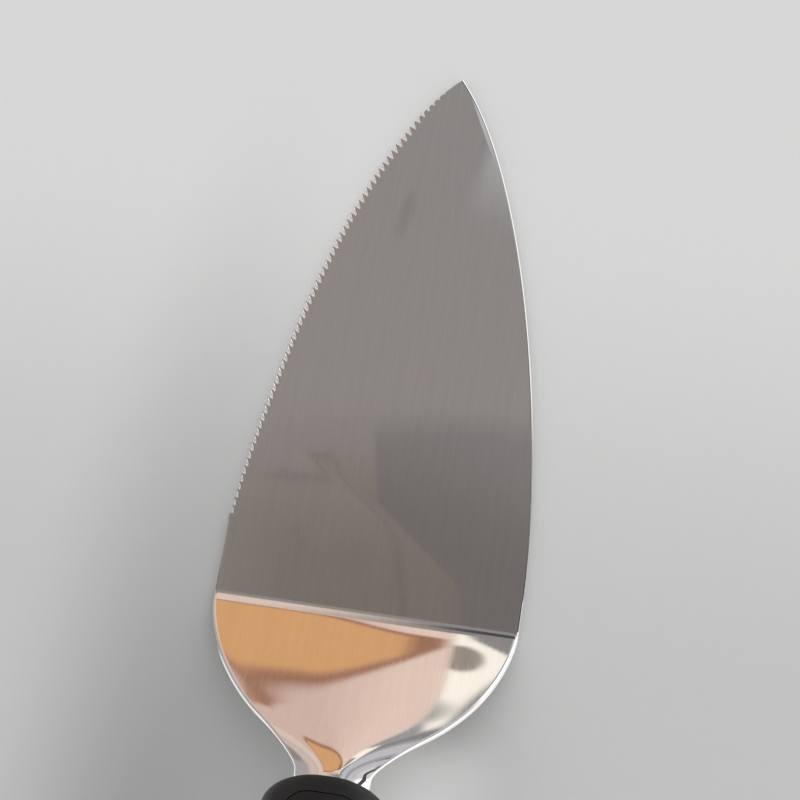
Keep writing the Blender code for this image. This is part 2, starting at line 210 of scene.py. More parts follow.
floor_material, nodes, shader = surface("pale_table", FLOOR_COLOUR, FLOOR_ROUGHNESS)
whole = nodes.place()
x, y, _ = nodes.split(whole)
fade = nodes.step(y, FADE_START, FADE_END, NEAR_FADE, 1.0)
# Painted shadow: an oval of darker floor left of the lifter, standing in for its soft shadow.
aside = nodes.math("POWER", nodes.line(x, 1 / SHADE_RADII[0], -SHADE_CENTRE[0] / SHADE_RADII[0]), 2.0)
ahead = nodes.math("POWER", nodes.line(y, 1 / SHADE_RADII[1], -SHADE_CENTRE[1] / SHADE_RADII[1]), 2.0)
shade = nodes.step(nodes.math("SQRT", nodes.math("ADD", aside, ahead)), 0.0, 1.0, SHADE_LEVEL, 1.0)
mottle = nodes.noise(whole, MOTTLE_SCALE, detail=5.0, roughness=0.7)
# Painted light: a brighter patch of floor right of the neck, which lifts the handle's shadow there.
painted_light_patch = nodes.times(
    nodes.step(x, LIT_PATCH_INNER, LIT_PATCH_OUTER, 1.0, 0.0),
    nodes.step(x, 0.0, LIT_PATCH_EDGE),
    nodes.step(y, LIT_PATCH_END, LIT_PATCH_START, LIT_PATCH_GAIN, 0.0),
)
level = nodes.times(fade, shade, nodes.step(mottle, *MOTTLE_BAND, *MOTTLE_LEVELS), FLOOR_SHARE)
level = nodes.math("MULTIPLY", level, nodes.line(painted_light_patch, 1.0, 1.0))
nodes.plug(nodes.mix(level, (0.0, 0.0, 0.0), FLOOR_COLOUR), shader.inputs["Base Color"])
# Painted light: the floor glows for glossy rays only, so the steel mirrors it brighter than it is; painted
# shade takes that glow away under the blade and to its left.
rays = nodes.tree.nodes.new("ShaderNodeLightPath")
painted_shade_under = nodes.times(
    nodes.between(x, -SHADE_UNDER_HALF, SHADE_UNDER_HALF, GLOW_SOFTNESS),
    nodes.between(y, SHADE_UNDER_START, SHADE_UNDER_END, GLOW_SOFTNESS),
)
painted_shade_beside = nodes.times(
    nodes.step(x, LEFT_DARK_X - GLOW_SOFTNESS / 2, LEFT_DARK_X + GLOW_SOFTNESS / 2, 1.0, 0.0),
    nodes.step(y, LEFT_DARK_Y - GLOW_SOFTNESS / 2, LEFT_DARK_Y + GLOW_SOFTNESS / 2),
)
open_floor = nodes.times(nodes.line(painted_shade_under, -1.0, 1.0), nodes.line(painted_shade_beside, -1.0, 1.0))
painted_glow = nodes.times(rays.outputs["Is Glossy Ray"], open_floor, PAINTED_FLOOR_GLOW)
shader.inputs["Emission Color"].default_value = (1.0, 1.0, 1.0, 1.0)
nodes.plug(painted_glow, shader.inputs["Emission Strength"])
floor_mesh = bmesh.new()
floor_place = Matrix.Translation((0.0, 0.0, -FLOOR_DROP))
bmesh.ops.create_grid(floor_mesh, x_segments=1, y_segments=1, size=FLOOR_HALF, matrix=floor_place)
floor = piece("floor", floor_mesh, floor_material)

# Light: a soft, even studio that is alike from every side.
# What the polished steel mirrors of it is painted by direction, in degrees turned from straight ahead and in
# degrees of height: a dim ceiling, pale walls and, low down ahead, a wooden panel with a window beside it.

STUDIO_COLOUR = (1.0, 1.0, 1.0)
CEILING_FRONT_COLOUR = (0.37, 0.355, 0.35)
CEILING_COLOUR = (0.385, 0.355, 0.34)
CEILING_DARK_COLOUR = (0.265, 0.228, 0.205)
CEILING_SHADE_COLOUR = (0.16, 0.17, 0.19)
CEILING_BACK_HEIGHTS = (57, 62)
CEILING_DARK_HEIGHTS = (63.4, 68.0)
CEILING_LEFT_TURNS = (-20.5, -15.5)
CEILING_LEFT_SHARE = 0.7
BEAM_EDGE_LINE = (0.45, -35.2)
BEAM_EDGE_SOFTNESS = 0.2
BEAM_FOOT_LINE = (0.09, 0.53)
BEAM_FOOT_HEIGHTS = (64.3, 65.3)
BEAM_SHADE = 0.35

SOFFIT_COLOUR = (1.02, 0.80, 0.70)
SOFFIT_DARK_COLOUR = (0.34, 0.32, 0.31)
SOFFIT_DARK_TURNS = (-9, -1.5)
SOFFIT_LEFT_TURNS = (-22, -15)
SOFFIT_TOP_HEIGHTS = (48, 57)

HATCH_SIDE_LINE = (0.52, -43.7)
HATCH_NARROWING = 0.41
HATCH_CORNER = 0.5
HATCH_FRONT_HEIGHT = 65.6
HATCH_GAP = (0.42, 0.60, 0.10)
HATCH_LEFT_TURNS = (-19.0, -15.5)
HATCH_SHADE = 0.25
CEILING_HEIGHTS = (60, 64)
SPOT_EDGE = (0.1, 1.1)
CEILING_SPOTS = (
    ((-6.9, 59.1), (1.3, 0.60), 0.16),
    ((-19.4, 67.8), (1.6, 0.45), 0.22),
    ((-14.5, 68.9), (2.2, 0.18), 0.65),
    ((-15.3, 67.0), (0.20, 0.60), 0.14),
    ((-11.6, 67.2), (1.4, 0.35), 0.06),
)

WALL_COLOUR = (0.90, 0.89, 0.87)
BLUE_WALL_COLOUR = (0.74, 0.73, 0.77)
LEFT_WALL_COLOUR = (0.87, 0.70, 0.62)
FAR_LEFT_WALL_COLOUR = (0.56, 0.51, 0.50)
STRIPE_COLOUR = (0.42, 0.44, 0.48)
BLUE_WALL_END = (28, 42)
STRIPES = ((-0.7, 0.9, 1.2), (8.0, 15.0, 4.0))
STRIPE_SHARE = 0.8
FAR_LEFT_END = (-48, -30)
WALLS_MEET = (-5, -3)
RIGHT_WALL_START = (-0.4, 0.4)
LEFT_WALL_END = (-24, -9.5)
WALL_TOP_TURNS = (-24, -10)
WALL_TOP_HEIGHTS = (39.5, 56)
WALL_TOP_SOFTNESS = 2.5

DARK_COLOUR = (0.10, 0.10, 0.105)
SCREEN_COLOUR = (1.9, 1.9, 1.9)
LOW_SCREEN_TURNS = (13, 19)
LOW_SCREEN_HEIGHTS = (27, 31)
BACK_SCREEN = ((-160, -96, 6), (-5, 72, 6))
DARK_SHELVES = (
    ((20, 64, 6), (50, 63, 3)),
    ((54, 68, 3), (16, 52, 4)),
    ((6, 14, 3), (12, 26, 3)),
    ((-82, -44, 6), (52, 62, 3)),
    ((-3, 16, 3), (39, 53, 3)),
)
KERB_TURNS = (-24, 14, 3)
KERB_TOP_HEIGHTS = (11, 14)

SEAM_TURN = -1.85
CURTAIN_COLOUR = (0.90, 0.665, 0.57)
CURTAIN_PALE_COLOUR = (1.10, 0.84, 0.72)
CURTAIN_PALE_TURNS = (-5.5, -2.6)
CURTAIN_TOP_HEIGHTS = (26.9, 28.2)
CURTAIN_LEFT_TURN = -11
CURTAIN_SOFTNESS = 0.12

PANEL_COLOUR = (0.925, 0.505, 0.238)
PANEL_RIM_COLOUR = (0.47, 0.232, 0.15)
PANEL_TOP_TURNS = (-6.0, -3.0)
PANEL_TOP_HEIGHTS = (26.7, 25.5)
PANEL_FOOT_TURN, PANEL_FOOT_SPAN = -5.4, 2.75
PANEL_FOOT_POWER, PANEL_FOOT_CLIMB = 1.6, 4.6
PANEL_FOOT_HEIGHT = 19.1
PANEL_LEFT_LINES = ((-0.13, -5.45), (-0.55, 3.25))
RIM_TOP, RIM_FOOT, RIM_LEFT, RIM_RIGHT_TURNS = (-0.5, -0.25), (-1.1, -0.3), (-0.45, -0.25), (-2.3, -1.85)
BOARD_TOP, BOARD_FOOT, BOARD_LEFT, BOARD_RIGHT_TURNS = (-0.2, 0.3), (-0.3, 0.7), (-0.25, 0.0), (-3.4, -2.7)

WINDOW_COLOUR = (1.42, 1.32, 1.18)
WINDOW_FOOT_HEIGHTS = (27.2, 28.4)
WINDOW_END_HEIGHT, WINDOW_END_SLOPE, WINDOW_END_TURN = 24.0, -0.25, 0.1
WINDOW_END_SOFTNESS = 0.15
SEAM_SOFTNESS = 0.07
FRAME_COLOUR = (0.36, 0.35, 0.35)
FRAME_LINE = (1.65, 2.8)
FRAME_FOOT_HEIGHTS = (26.75, 27.25)
FRAME_LEFT_TURNS = (-1.7, -1.2)
FRAME_TOP_HEIGHTS = (32, 38)
SHUTTER_COLOUR = (0.43, 0.37, 0.32)
SHUTTER_CENTRE, SHUTTER_RADII = (-1.6, 23.5), (0.72, 1.9)
SHUTTER_EDGE = (0.55, 1.1)
SILL_COLOUR = (0.46, 0.45, 0.465)
SILL_TURNS = (SEAM_TURN, 6, 0.2)
SILL_HEIGHTS = (18.6, 19.4)

world = bpy.data.worlds.new("studio")
world.use_nodes = True
view.world = world
sky = Nodes(world.node_tree)
x, y, z = sky.split(world.node_tree.nodes.new("ShaderNodeTexCoord").outputs["Generated"])
turn = sky.math("MULTIPLY", sky.math("ARCTAN2", x, y), math.degrees(1))
height = sky.math("MULTIPLY", sky.math("ARCSINE", z), math.degrees(1))


def oval(centre, radii):
    """Squared distance from an oval's centre, 1 on the oval itself, with places as (turn, height)."""
    across, up = [
        sky.math("POWER", sky.line(value, 1 / radius, -middle / radius), 2.0)
        for value, middle, radius in zip((turn, height), centre, radii)
    ]
    return sky.math("ADD", across, up)


def patch(turns, heights):
    """A soft-edged patch's share, from its (low, high, softness) in turn and in height."""
    return sky.times(sky.between(turn, *turns), sky.between(height, *heights))


# The ceiling, which the flat leaf mirrors, and the soffit, which lights the crease's bend
dim = sky.mix(sky.step(height, *CEILING_BACK_HEIGHTS), CEILING_FRONT_COLOUR, CEILING_COLOUR)
darker = sky.times(
    sky.step(height, *CEILING_DARK_HEIGHTS), sky.step(turn, *CEILING_LEFT_TURNS, CEILING_LEFT_SHARE, 1.0)
)
dim = sky.mix(darker, dim, CEILING_DARK_COLOUR)
beside_beam = sky.math("SUBTRACT", turn, sky.line(height, *BEAM_EDGE_LINE))
under_beam = sky.math("ADD", height, sky.line(turn, *BEAM_FOOT_LINE))
shaded = sky.times(
    sky.step(beside_beam, -BEAM_EDGE_SOFTNESS, BEAM_EDGE_SOFTNESS),
    sky.step(under_beam, *BEAM_FOOT_HEIGHTS),
    BEAM_SHADE,
)
dim = sky.mix(shaded, dim, CEILING_SHADE_COLOUR)
soffit = sky.mix(sky.step(turn, *SOFFIT_DARK_TURNS), SOFFIT_COLOUR, SOFFIT_DARK_COLOUR)
soffit = sky.mix(sky.step(turn, *SOFFIT_LEFT_TURNS, 1.0, 0.0), soffit, dim)
seen = sky.mix(sky.step(height, *SOFFIT_TOP_HEIGHTS), soffit, dim)

# A hatch's rounded outline and a few soft spots on the ceiling
hatch_across = sky.math("SUBTRACT", turn, sky.line(height, *HATCH_SIDE_LINE))
hatch_across = sky.math("MAXIMUM", sky.line(hatch_across, HATCH_NARROWING, HATCH_CORNER), 0.0)
hatch_along = sky.math("MAXIMUM", sky.line(height, -1.0, HATCH_FRONT_HEIGHT + HATCH_CORNER), 0.0)
hatch_edge = sky.math(
    "SQRT", sky.math("ADD", sky.math("POWER", hatch_across, 2.0), sky.math("POWER", hatch_along, 2.0))
)
hatch = sky.times(sky.between(hatch_edge, *HATCH_GAP), sky.step(turn, *HATCH_LEFT_TURNS), HATCH_SHADE)
seen = sky.mix(sky.times(hatch, sky.step(height, *CEILING_HEIGHTS)), seen, DARK_COLOUR)
for place, size, strength in CEILING_SPOTS:
    seen = sky.mix(sky.step(oval(place, size), *SPOT_EDGE, strength, 0.0), seen, DARK_COLOUR)

# The walls at both sides, pale near the front and darker farther round
right_wall = sky.mix(sky.step(turn, *BLUE_WALL_END), BLUE_WALL_COLOUR, WALL_COLOUR)
stripe = sky.math("MAXIMUM", *[sky.between(turn, *ends) for ends in STRIPES])
right_wall = sky.mix(sky.times(stripe, STRIPE_SHARE), right_wall, STRIPE_COLOUR)
sides = sky.mix(sky.step(turn, *FAR_LEFT_END), FAR_LEFT_WALL_COLOUR, LEFT_WALL_COLOUR)
sides = sky.mix(sky.step(turn, *WALLS_MEET), sides, right_wall)
aside = sky.math("MAXIMUM", sky.step(turn, *RIGHT_WALL_START), sky.step(turn, *LEFT_WALL_END, 1.0, 0.0))
wall_top = sky.step(turn, *WALL_TOP_TURNS, *WALL_TOP_HEIGHTS)
over_wall = sky.math("SUBTRACT", height, wall_top)
low_down = sky.step(over_wall, -WALL_TOP_SOFTNESS, WALL_TOP_SOFTNESS, 1.0, 0.0)
seen = sky.mix(sky.times(aside, low_down), seen, sides)

# Two white screens, low at the right and behind at the left, and dark shelves and a kerb between them
low_screen = sky.times(sky.step(turn, *LOW_SCREEN_TURNS), sky.step(height, *LOW_SCREEN_HEIGHTS, 1.0, 0.0))
seen = sky.mix(low_screen, seen, SCREEN_COLOUR)
seen = sky.mix(patch(*BACK_SCREEN), seen, SCREEN_COLOUR)
darks = sky.times(sky.between(turn, *KERB_TURNS), sky.step(height, *KERB_TOP_HEIGHTS, 1.0, 0.0))
for shelf in DARK_SHELVES:
    darks = sky.math("MAXIMUM", darks, patch(*shelf))

# A pink curtain fills the low part left of the seam
curtain = sky.mix(sky.step(turn, *CURTAIN_PALE_TURNS), CURTAIN_COLOUR, CURTAIN_PALE_COLOUR)
low_left = sky.times(
    sky.step(height, *CURTAIN_TOP_HEIGHTS, 1.0, 0.0),
    sky.between(turn, CURTAIN_LEFT_TURN, SEAM_TURN, CURTAIN_SOFTNESS),
)
seen = sky.mix(low_left, seen, curtain)

# The wooden panel before it, with its darker, softer rim
panel_top = sky.step(turn, *PANEL_TOP_TURNS, *PANEL_TOP_HEIGHTS)
foot_climb = sky.line(turn, 1 / PANEL_FOOT_SPAN, -PANEL_FOOT_TURN / PANEL_FOOT_SPAN)
foot_climb = sky.math("POWER", sky.math("MAXIMUM", foot_climb, 0.0), PANEL_FOOT_POWER)
panel_foot = sky.line(foot_climb, PANEL_FOOT_CLIMB, PANEL_FOOT_HEIGHT)
panel_left = sky.math("MAXIMUM", *[sky.line(height, *ends) for ends in PANEL_LEFT_LINES])
under_top = sky.math("SUBTRACT", panel_top, height)
over_foot = sky.math("SUBTRACT", height, panel_foot)
inside_left = sky.math("SUBTRACT", turn, panel_left)
for colour, top, foot, left, right_turns in (
    (PANEL_RIM_COLOUR, RIM_TOP, RIM_FOOT, RIM_LEFT, RIM_RIGHT_TURNS),
    (PANEL_COLOUR, BOARD_TOP, BOARD_FOOT, BOARD_LEFT, BOARD_RIGHT_TURNS),
):
    share = sky.times(
        sky.step(under_top, *top),
        sky.step(over_foot, *foot),
        sky.step(inside_left, *left),
        sky.step(turn, *right_turns, 1.0, 0.0),
    )
    seen = sky.mix(share, seen, colour)

# The window to the right of the seam: pale, with a shutter, a dark frame above and a sill below
window_end = sky.math("MAXIMUM", sky.line(height, -1.0, WINDOW_END_HEIGHT), 0.0)
window_end = sky.line(window_end, WINDOW_END_SLOPE, WINDOW_END_TURN)
before_end = sky.step(sky.math("SUBTRACT", window_end, turn), -WINDOW_END_SOFTNESS, WINDOW_END_SOFTNESS)
low_right = sky.times(sky.step(turn, SEAM_TURN - SEAM_SOFTNESS, SEAM_TURN + SEAM_SOFTNESS), before_end)
lit = sky.times(low_right, sky.step(height, *WINDOW_FOOT_HEIGHTS, 1.0, 0.0))
seen = sky.mix(lit, seen, WINDOW_COLOUR)
tilted = sky.math("ADD", height, sky.line(turn, *FRAME_LINE))
window_frame = sky.times(
    low_right,
    sky.step(tilted, *FRAME_FOOT_HEIGHTS),
    sky.step(turn, *FRAME_LEFT_TURNS),
    sky.step(height, *FRAME_TOP_HEIGHTS, 1.0, 0.0),
)
seen = sky.mix(window_frame, seen, FRAME_COLOUR)
shutter = sky.step(oval(SHUTTER_CENTRE, SHUTTER_RADII), *SHUTTER_EDGE, 1.0, 0.0)
seen = sky.mix(sky.times(low_right, shutter), seen, SHUTTER_COLOUR)
sill = sky.times(sky.between(turn, *SILL_TURNS), sky.step(height, *SILL_HEIGHTS, 1.0, 0.0))
seen = sky.mix(sill, seen, SILL_COLOUR)

seen = sky.mix(darks, seen, DARK_COLOUR)
rays = world.node_tree.nodes.new("ShaderNodeLightPath")
background = world.node_tree.nodes["Background"]
sky.plug(sky.mix(rays.outputs["Is Glossy Ray"], STUDIO_COLOUR, seen), background.inputs["Color"])

# Blade: one stamped stainless sheet, polished, with faint streaks along its length.
# It runs in one piece from the point, past the crease and the arched neck, to the tang inside the handle.
# Its left edge is scalloped by a round wheel, which leaves a rougher ground finish, coloured paler there as
# a painted glint.

SHEET = 0.0015
BLADE_LENGTH = 0.126
BLADE_HALF_WIDTH = 0.030
POINT_OFFSET = 0.0011
HEEL_STRAIGHT = 0.008
EDGE_STEP = 0.0002
RIGHT_EDGE_SHARES = ((0.599, 0.831), (1.0, 0.347))
LEFT_EDGE_SHARES = ((-0.682, 0.826), (-0.953, 0.332))
EDGE_POINTS = 90

SHOULDER_LENGTH = 0.0411
NECK_HALF_WIDTH = 0.0074
SHOULDER_WIDE_SHARES = ((1.0, 0.0), (1.0, 0.066), (0.9, 0.428), (0.364, 0.724))
SHOULDER_NARROW_SHARES = ((0.364, 0.724), (0.2, 0.815), (0.0, 0.963), (0.0, 1.0))
SHOULDER_POINTS = 40
NECK_SWAY = 0.0004
SWAY_LENGTH = 0.025

CREASE_BEND = 0.0010
CREASE_ANGLE = math.radians(21)
NECK_ANGLE = math.radians(21)
HANDLE_ANGLE = math.radians(12)
RISE_LENGTH = 0.0448
RISE_BULGE = math.radians(6.5)
NECK_SWELLS = ((1.3, 0.0310, 0.0060), (-2.6, 0.0440, 0.0090), (3.5, 0.0500, 0.0045))
CURVE_POINTS = 800
BEND_ROWS = 8
SHOULDER_ROWS = 90

RIM_BAND = 0.006
RIM_BAND_SHARE = 0.82
RIM_DEPTH = 0.0045
RIM_POWER = 2.4
RIM_GROWTH_POWER = 12.0
CROWN_DEPTH = 0.0009
CROWN_GROWTH_POWER = 4.0
RIM_COLUMNS = 14
MIDDLE_COLUMNS = 14

TANG_LENGTH = 0.034
TANG_HALF_WIDTH = 0.006
TANG_NARROWING = 0.006
TANG_FLATTENING = 0.010
TANG_ROWS = 12

HANDLE_DROP = 0.0008
PIN_RADIUS = 0.0015
PIN_CLEARANCE = 0.0003
PIN_PLACES = (0.0125, 0.0265)
PIN_HOLE_REACH = 0.004
HOLE_SIDES = 40

LEAF_ROUNDING = 0.00042
LEAF_ROUNDING_FLATNESS = 0.45
SHOULDER_ROUNDING = 0.0006
EDGE_SEGMENTS = 4
RIM_ANGLE = 1.0
RIM_TOLERANCE = SHEET / 1000
PLACE_DIGITS = 7
FIRST_COLUMN = 0.00085

SCALLOP_START = 0.0172
SCALLOP_PITCH = 0.00178
SCALLOP_RADIUS = 0.00095
SCALLOP_DEPTH = 0.00045
SCALLOP_DEPTH_SHARES = ((0.0, 0.5), (0.25, 1.0), (0.84, 1.0), (0.97, 0.0), (1.0, 0.0))
GROOVE_RAMP = math.radians(13)
GROOVE_EDGE_HEIGHT = 0.00113
GROOVE_HEADING = math.radians(-42)
GROOVE_LENGTH = 0.0023
GROOVE_ROWS = 15
GROOVE_FADE = 0.009
FULLY_FADED = 0.999
SAMPLES_PER_SCALLOP = 12
STRIP_LEAD = 0.0015
SAMPLES_LEFT_OUT = 3

CREASE = Vector((0.0, -BLADE_LENGTH / 2, 0.0))


def lerp_table(table, place_value):
    """Read a value from rising (place, value) pairs by straight interpolation, held at both ends."""
    if place_value <= table[0][0]:
        return table[0][1]
    for (start, before), (end, after) in zip(table, table[1:]):
        if place_value <= end:
            return before + (after - before) * (place_value - start) / (end - start)
    return table[-1][1]


def smooth(share):
    """Ease a share in and out between 0 and 1."""
    share = min(1.0, max(0.0, share))
    return share * share * (3 - 2 * share)


NECK_ARC = RISE_LENGTH
FLAT_ARC = NECK_ARC + TANG_FLATTENING
TANG_END = NECK_ARC + TANG_LENGTH


def plain_pitch(arc):
    """Slope of the centre line: it swells between crease and neck, then eases to the handle's slope."""
    if arc > NECK_ARC:
        return NECK_ANGLE + (HANDLE_ANGLE - NECK_ANGLE) * smooth((arc - NECK_ARC) / TANG_FLATTENING)
    share = arc / NECK_ARC
    swell = share * math.sqrt(3 - 3 * share) * 3 / 2
    return CREASE_ANGLE + (NECK_ANGLE - CREASE_ANGLE) * share + RISE_BULGE * swell


def pressed_pitch(arc):
    """The same with the press's slight waves at the neck, which end where they would have without them."""
    waves = [
        math.radians(angle) * smooth(1 - abs(arc - centre) / half) for angle, centre, half in NECK_SWELLS
    ]
    return plain_pitch(arc) + sum(waves)


RISE_STEP = FLAT_ARC / CURVE_POINTS


def rise_curve(pitch):
    """Points (y, z) along the rise for a slope by arc length."""
    curve = [Vector((0.0, 0.0))]
    for index in range(CURVE_POINTS):
        slope = pitch(RISE_STEP * (index + 1 / 2))
        curve.append(curve[-1] + Vector((-math.cos(slope), math.sin(slope))) * RISE_STEP)
    return curve


PRESSED_CURVE = rise_curve(pressed_pitch)


def rise_point(arc, curve=PRESSED_CURVE):
    """Point (y, z) on the rise as if its crease were sharp, an arc length behind the crease."""
    if arc <= 0.0:
        return Vector((-arc, 0.0))
    if arc >= FLAT_ARC:
        beyond = arc - FLAT_ARC
        return curve[-1] + Vector((-math.cos(HANDLE_ANGLE), math.sin(HANDLE_ANGLE))) * beyond
    index = int(arc / RISE_STEP)
    return curve[index].lerp(curve[index + 1], arc / RISE_STEP - index)


def centre_point(arc):
    """The same with the crease rounded: a small arc joins the flat leaf to the rise."""
    if abs(arc) >= CREASE_BEND:
        return rise_point(arc)
    share = (arc + CREASE_BEND) / (2 * CREASE_BEND)
    start, corner, end = rise_point(-CREASE_BEND), rise_point(0.0), rise_point(CREASE_BEND)
    return start.lerp(corner, share).lerp(corner.lerp(end, share), share)


def shoulder_point(shares):
    """Half width and arc length at one point of the shoulder's outline."""
    wide, along = shares
    return Vector((NECK_HALF_WIDTH + (BLADE_HALF_WIDTH - NECK_HALF_WIDTH) * wide, SHOULDER_LENGTH * along))


SHOULDER_OUTLINE = (
    interpolate_bezier(*[shoulder_point(shares) for shares in SHOULDER_WIDE_SHARES], SHOULDER_POINTS)
    + interpolate_bezier(*[shoulder_point(shares) for shares in SHOULDER_NARROW_SHARES], SHOULDER_POINTS)[1:]
)
NECK_END = max(NECK_ARC, SHOULDER_LENGTH + CREASE_BEND)
HALF_WIDTHS = [(arc, half) for half, arc in SHOULDER_OUTLINE] + [
    (NECK_END, NECK_HALF_WIDTH),
    (NECK_END + TANG_NARROWING, TANG_HALF_WIDTH),
    (TANG_END, TANG_HALF_WIDTH),
]


def rim_drop(x, arc):
    """How far the turned-down side lies below the centre line's surface."""
    if arc <= 0.0:
        return 0.0
    share = min(arc, NECK_ARC) / NECK_ARC
    unflattened = 1 - smooth((arc - NECK_ARC) / TANG_FLATTENING)
    depth = RIM_DEPTH * share**RIM_GROWTH_POWER * unflattened
    crown = CROWN_DEPTH * share**CROWN_GROWTH_POWER * unflattened
    half = lerp_table(HALF_WIDTHS, arc)
    band = min(RIM_BAND, RIM_BAND_SHARE * half)
    turned_down = depth * max(0.0, 1 - (half - abs(x)) / band) ** RIM_POWER
    return turned_down + crown * (x / half) ** 2


def top_skin(x, arc):
    """Point of the pressed sheet's upper face for a place on the flat pattern."""
    y, z = centre_point(arc)
    return Vector((x + NECK_SWAY * smooth(arc / SWAY_LENGTH), y, SHEET + z - rim_drop(x, arc)))


def pressed(flat):
    """Bend a point (x, -arc, height) of the flat pattern into the pressed sheet."""
    x, arc, height = flat.x, -flat.y, flat.z
    step = CREASE_BEND / 10
    across = top_skin(x + step, arc) - top_skin(x - step, arc)
    forward = top_skin(x, arc - step) - top_skin(x, arc + step)
    return top_skin(x, arc) - across.cross(forward).normalized() * (SHEET - height)


def edge_curve(side, heel, handle_shares):
    """One side of the leaf's outline from its straight heel to the point."""
    near_point, near_heel = [
        Vector((BLADE_HALF_WIDTH * across, BLADE_LENGTH * along)) for across, along in handle_shares
    ]
    point = Vector((POINT_OFFSET, BLADE_LENGTH))
    return interpolate_bezier(Vector((side, heel)), near_heel, near_point, point, EDGE_POINTS)


def along(outline, distance):
    """The point a distance along an outline from its first point, and the way that it runs there."""
    for start, end in zip(outline, outline[1:]):
        step = (end - start).length
        if distance <= step:
            break
        distance -= step
    return start + (end - start) * (distance / step), (end - start).normalized()


def length_of(outline):
    """The length of an outline."""
    return sum((end - start).length for start, end in zip(outline, outline[1:]))


RIGHT_EDGE = edge_curve(BLADE_HALF_WIDTH, HEEL_STRAIGHT, RIGHT_EDGE_SHARES)
LEFT_EDGE = edge_curve(EDGE_STEP - BLADE_HALF_WIDTH, SCALLOP_START, LEFT_EDGE_SHARES)
HEEL_OUTLINE = [
    Vector((-BLADE_HALF_WIDTH, SCALLOP_START - STRIP_LEAD)),
    Vector((-BLADE_HALF_WIDTH, SCALLOP_START - EDGE_STEP)),
]
SCALLOPED = HEEL_OUTLINE + LEFT_EDGE
edge_length = length_of(LEFT_EDGE)
lead_length = length_of(SCALLOPED) - edge_length
point_heading = (RIGHT_EDGE[-2] - RIGHT_EDGE[-1]).normalized()
point_angle = math.atan2(point_heading.y, point_heading.x)


def groove_at(reach, deep):
    """Flat place and depth below the sheet's top, for a distance along the edge and a share inwards."""
    distance = reach - lead_length
    edge_point, run = along(SCALLOPED, reach)
    fading = smooth(1 - (edge_length - distance) / GROOVE_FADE)
    angle = GROOVE_HEADING + (point_angle - GROOVE_HEADING) * fading
    heading = Vector((math.cos(angle), math.sin(angle)))
    squareness = abs(run.x * heading.y - run.y * heading.x)
    strength = lerp_table(SCALLOP_DEPTH_SHARES, distance / edge_length)
    last_tooth = int(edge_length / SCALLOP_PITCH) - 1
    teeth = 0.5 + max(0, min(last_tooth, round(distance / SCALLOP_PITCH - 0.5)))
    aside = abs(distance - teeth * SCALLOP_PITCH) * squareness
    bite = 0.0
    if aside < SCALLOP_RADIUS:
        hollow = SCALLOP_RADIUS - math.sqrt(SCALLOP_RADIUS**2 - aside**2)
        bite = max(0.0, SCALLOP_DEPTH * strength - hollow)
    inwards = bite + (GROOVE_LENGTH - bite) * deep
    if fading > FULLY_FADED:
        place, _ = along(RIGHT_EDGE[::-1], inwards)
    else:
        place = edge_point + heading * inwards
    floor_height = SHEET
    if aside < SCALLOP_RADIUS:
        floor_height = GROOVE_EDGE_HEIGHT + (SHEET - GROOVE_EDGE_HEIGHT) * (1 - strength)
        floor_height += inwards * math.tan(GROOVE_RAMP) + hollow / math.cos(GROOVE_RAMP)
    return place, SHEET - min(SHEET, floor_height)


def shares_of(count):
    """Even shares from 0 to 1."""
    return [index / count for index in range(count + 1)]


def grid_of(mesh, columns, rows):
    """A fresh grid in the mesh, as a table of its vertices by row and column."""
    made = bmesh.ops.create_grid(
        mesh, x_segments=columns, y_segments=rows, size=0.5, matrix=Matrix.Translation((0.5, 0.5, 0.0))
    )["verts"]
    table = [[None] * (columns + 1) for _ in range(rows + 1)]
    for vertex in made:
        table[round(vertex.co.y * rows)][round(vertex.co.x * columns)] = vertex
    return table


sheet = bmesh.new()
drop = sheet.verts.layers.float.new("drop")

# The pressed part's flat pattern: rows from just ahead of the crease to the tang's end
arcs = [CREASE_BEND * (2 * share - 1) for share in shares_of(BEND_ROWS)]
arcs += [CREASE_BEND + (NECK_ARC - CREASE_BEND) * share for share in shares_of(SHOULDER_ROWS)[1:]]
arcs += [NECK_ARC + TANG_FLATTENING * share for share in shares_of(TANG_ROWS)[1:]] + [TANG_END]
columns_across = 2 * (RIM_COLUMNS + MIDDLE_COLUMNS)
pattern = grid_of(sheet, columns_across, len(arcs) - 1)
for arc, row in zip(arcs, pattern):
    half = lerp_table(HALF_WIDTHS, arc)
    band = min(RIM_BAND, RIM_BAND_SHARE * half)
    inner = [half - FIRST_COLUMN - (band - FIRST_COLUMN) * share for share in shares_of(RIM_COLUMNS - 1)]
    right = [half] + inner
    right += [(half - band) * (1 - share) for share in shares_of(MIDDLE_COLUMNS)[1:]]
    for vertex, x in zip(row, [-x for x in right] + right[-2::-1]):
        vertex.co = (x, -arc, 0.0)

# The scalloped strip along the left edge
samples = round((lead_length + edge_length) / SCALLOP_PITCH * SAMPLES_PER_SCALLOP)
reach_shares = shares_of(samples)[: -1 - SAMPLES_LEFT_OUT] + [1.0]
strip = grid_of(sheet, len(reach_shares) - 1, GROOVE_ROWS)
for deep, row in zip(shares_of(GROOVE_ROWS), strip):
    for reach_share, vertex in zip(reach_shares, row):
        place, depth = groove_at(reach_share * (lead_length + edge_length), deep)
        vertex.co = (place.x, place.y, 0.0)
        vertex[drop] = depth

# The flat leaf between them, as one face
right_length = length_of(RIGHT_EDGE) - GROOVE_LENGTH
right_side = []
for share in shares_of(EDGE_POINTS)[:-1]:
    place, _ = along(RIGHT_EDGE, right_length * share)
    right_side.append(sheet.verts.new((place.x, place.y, 0.0)))
left_end = [column[0] for column in strip]
leaf = pattern[0] + right_side + strip[-1][::-1] + left_end[-2::-1]
sheet.faces.new(leaf)


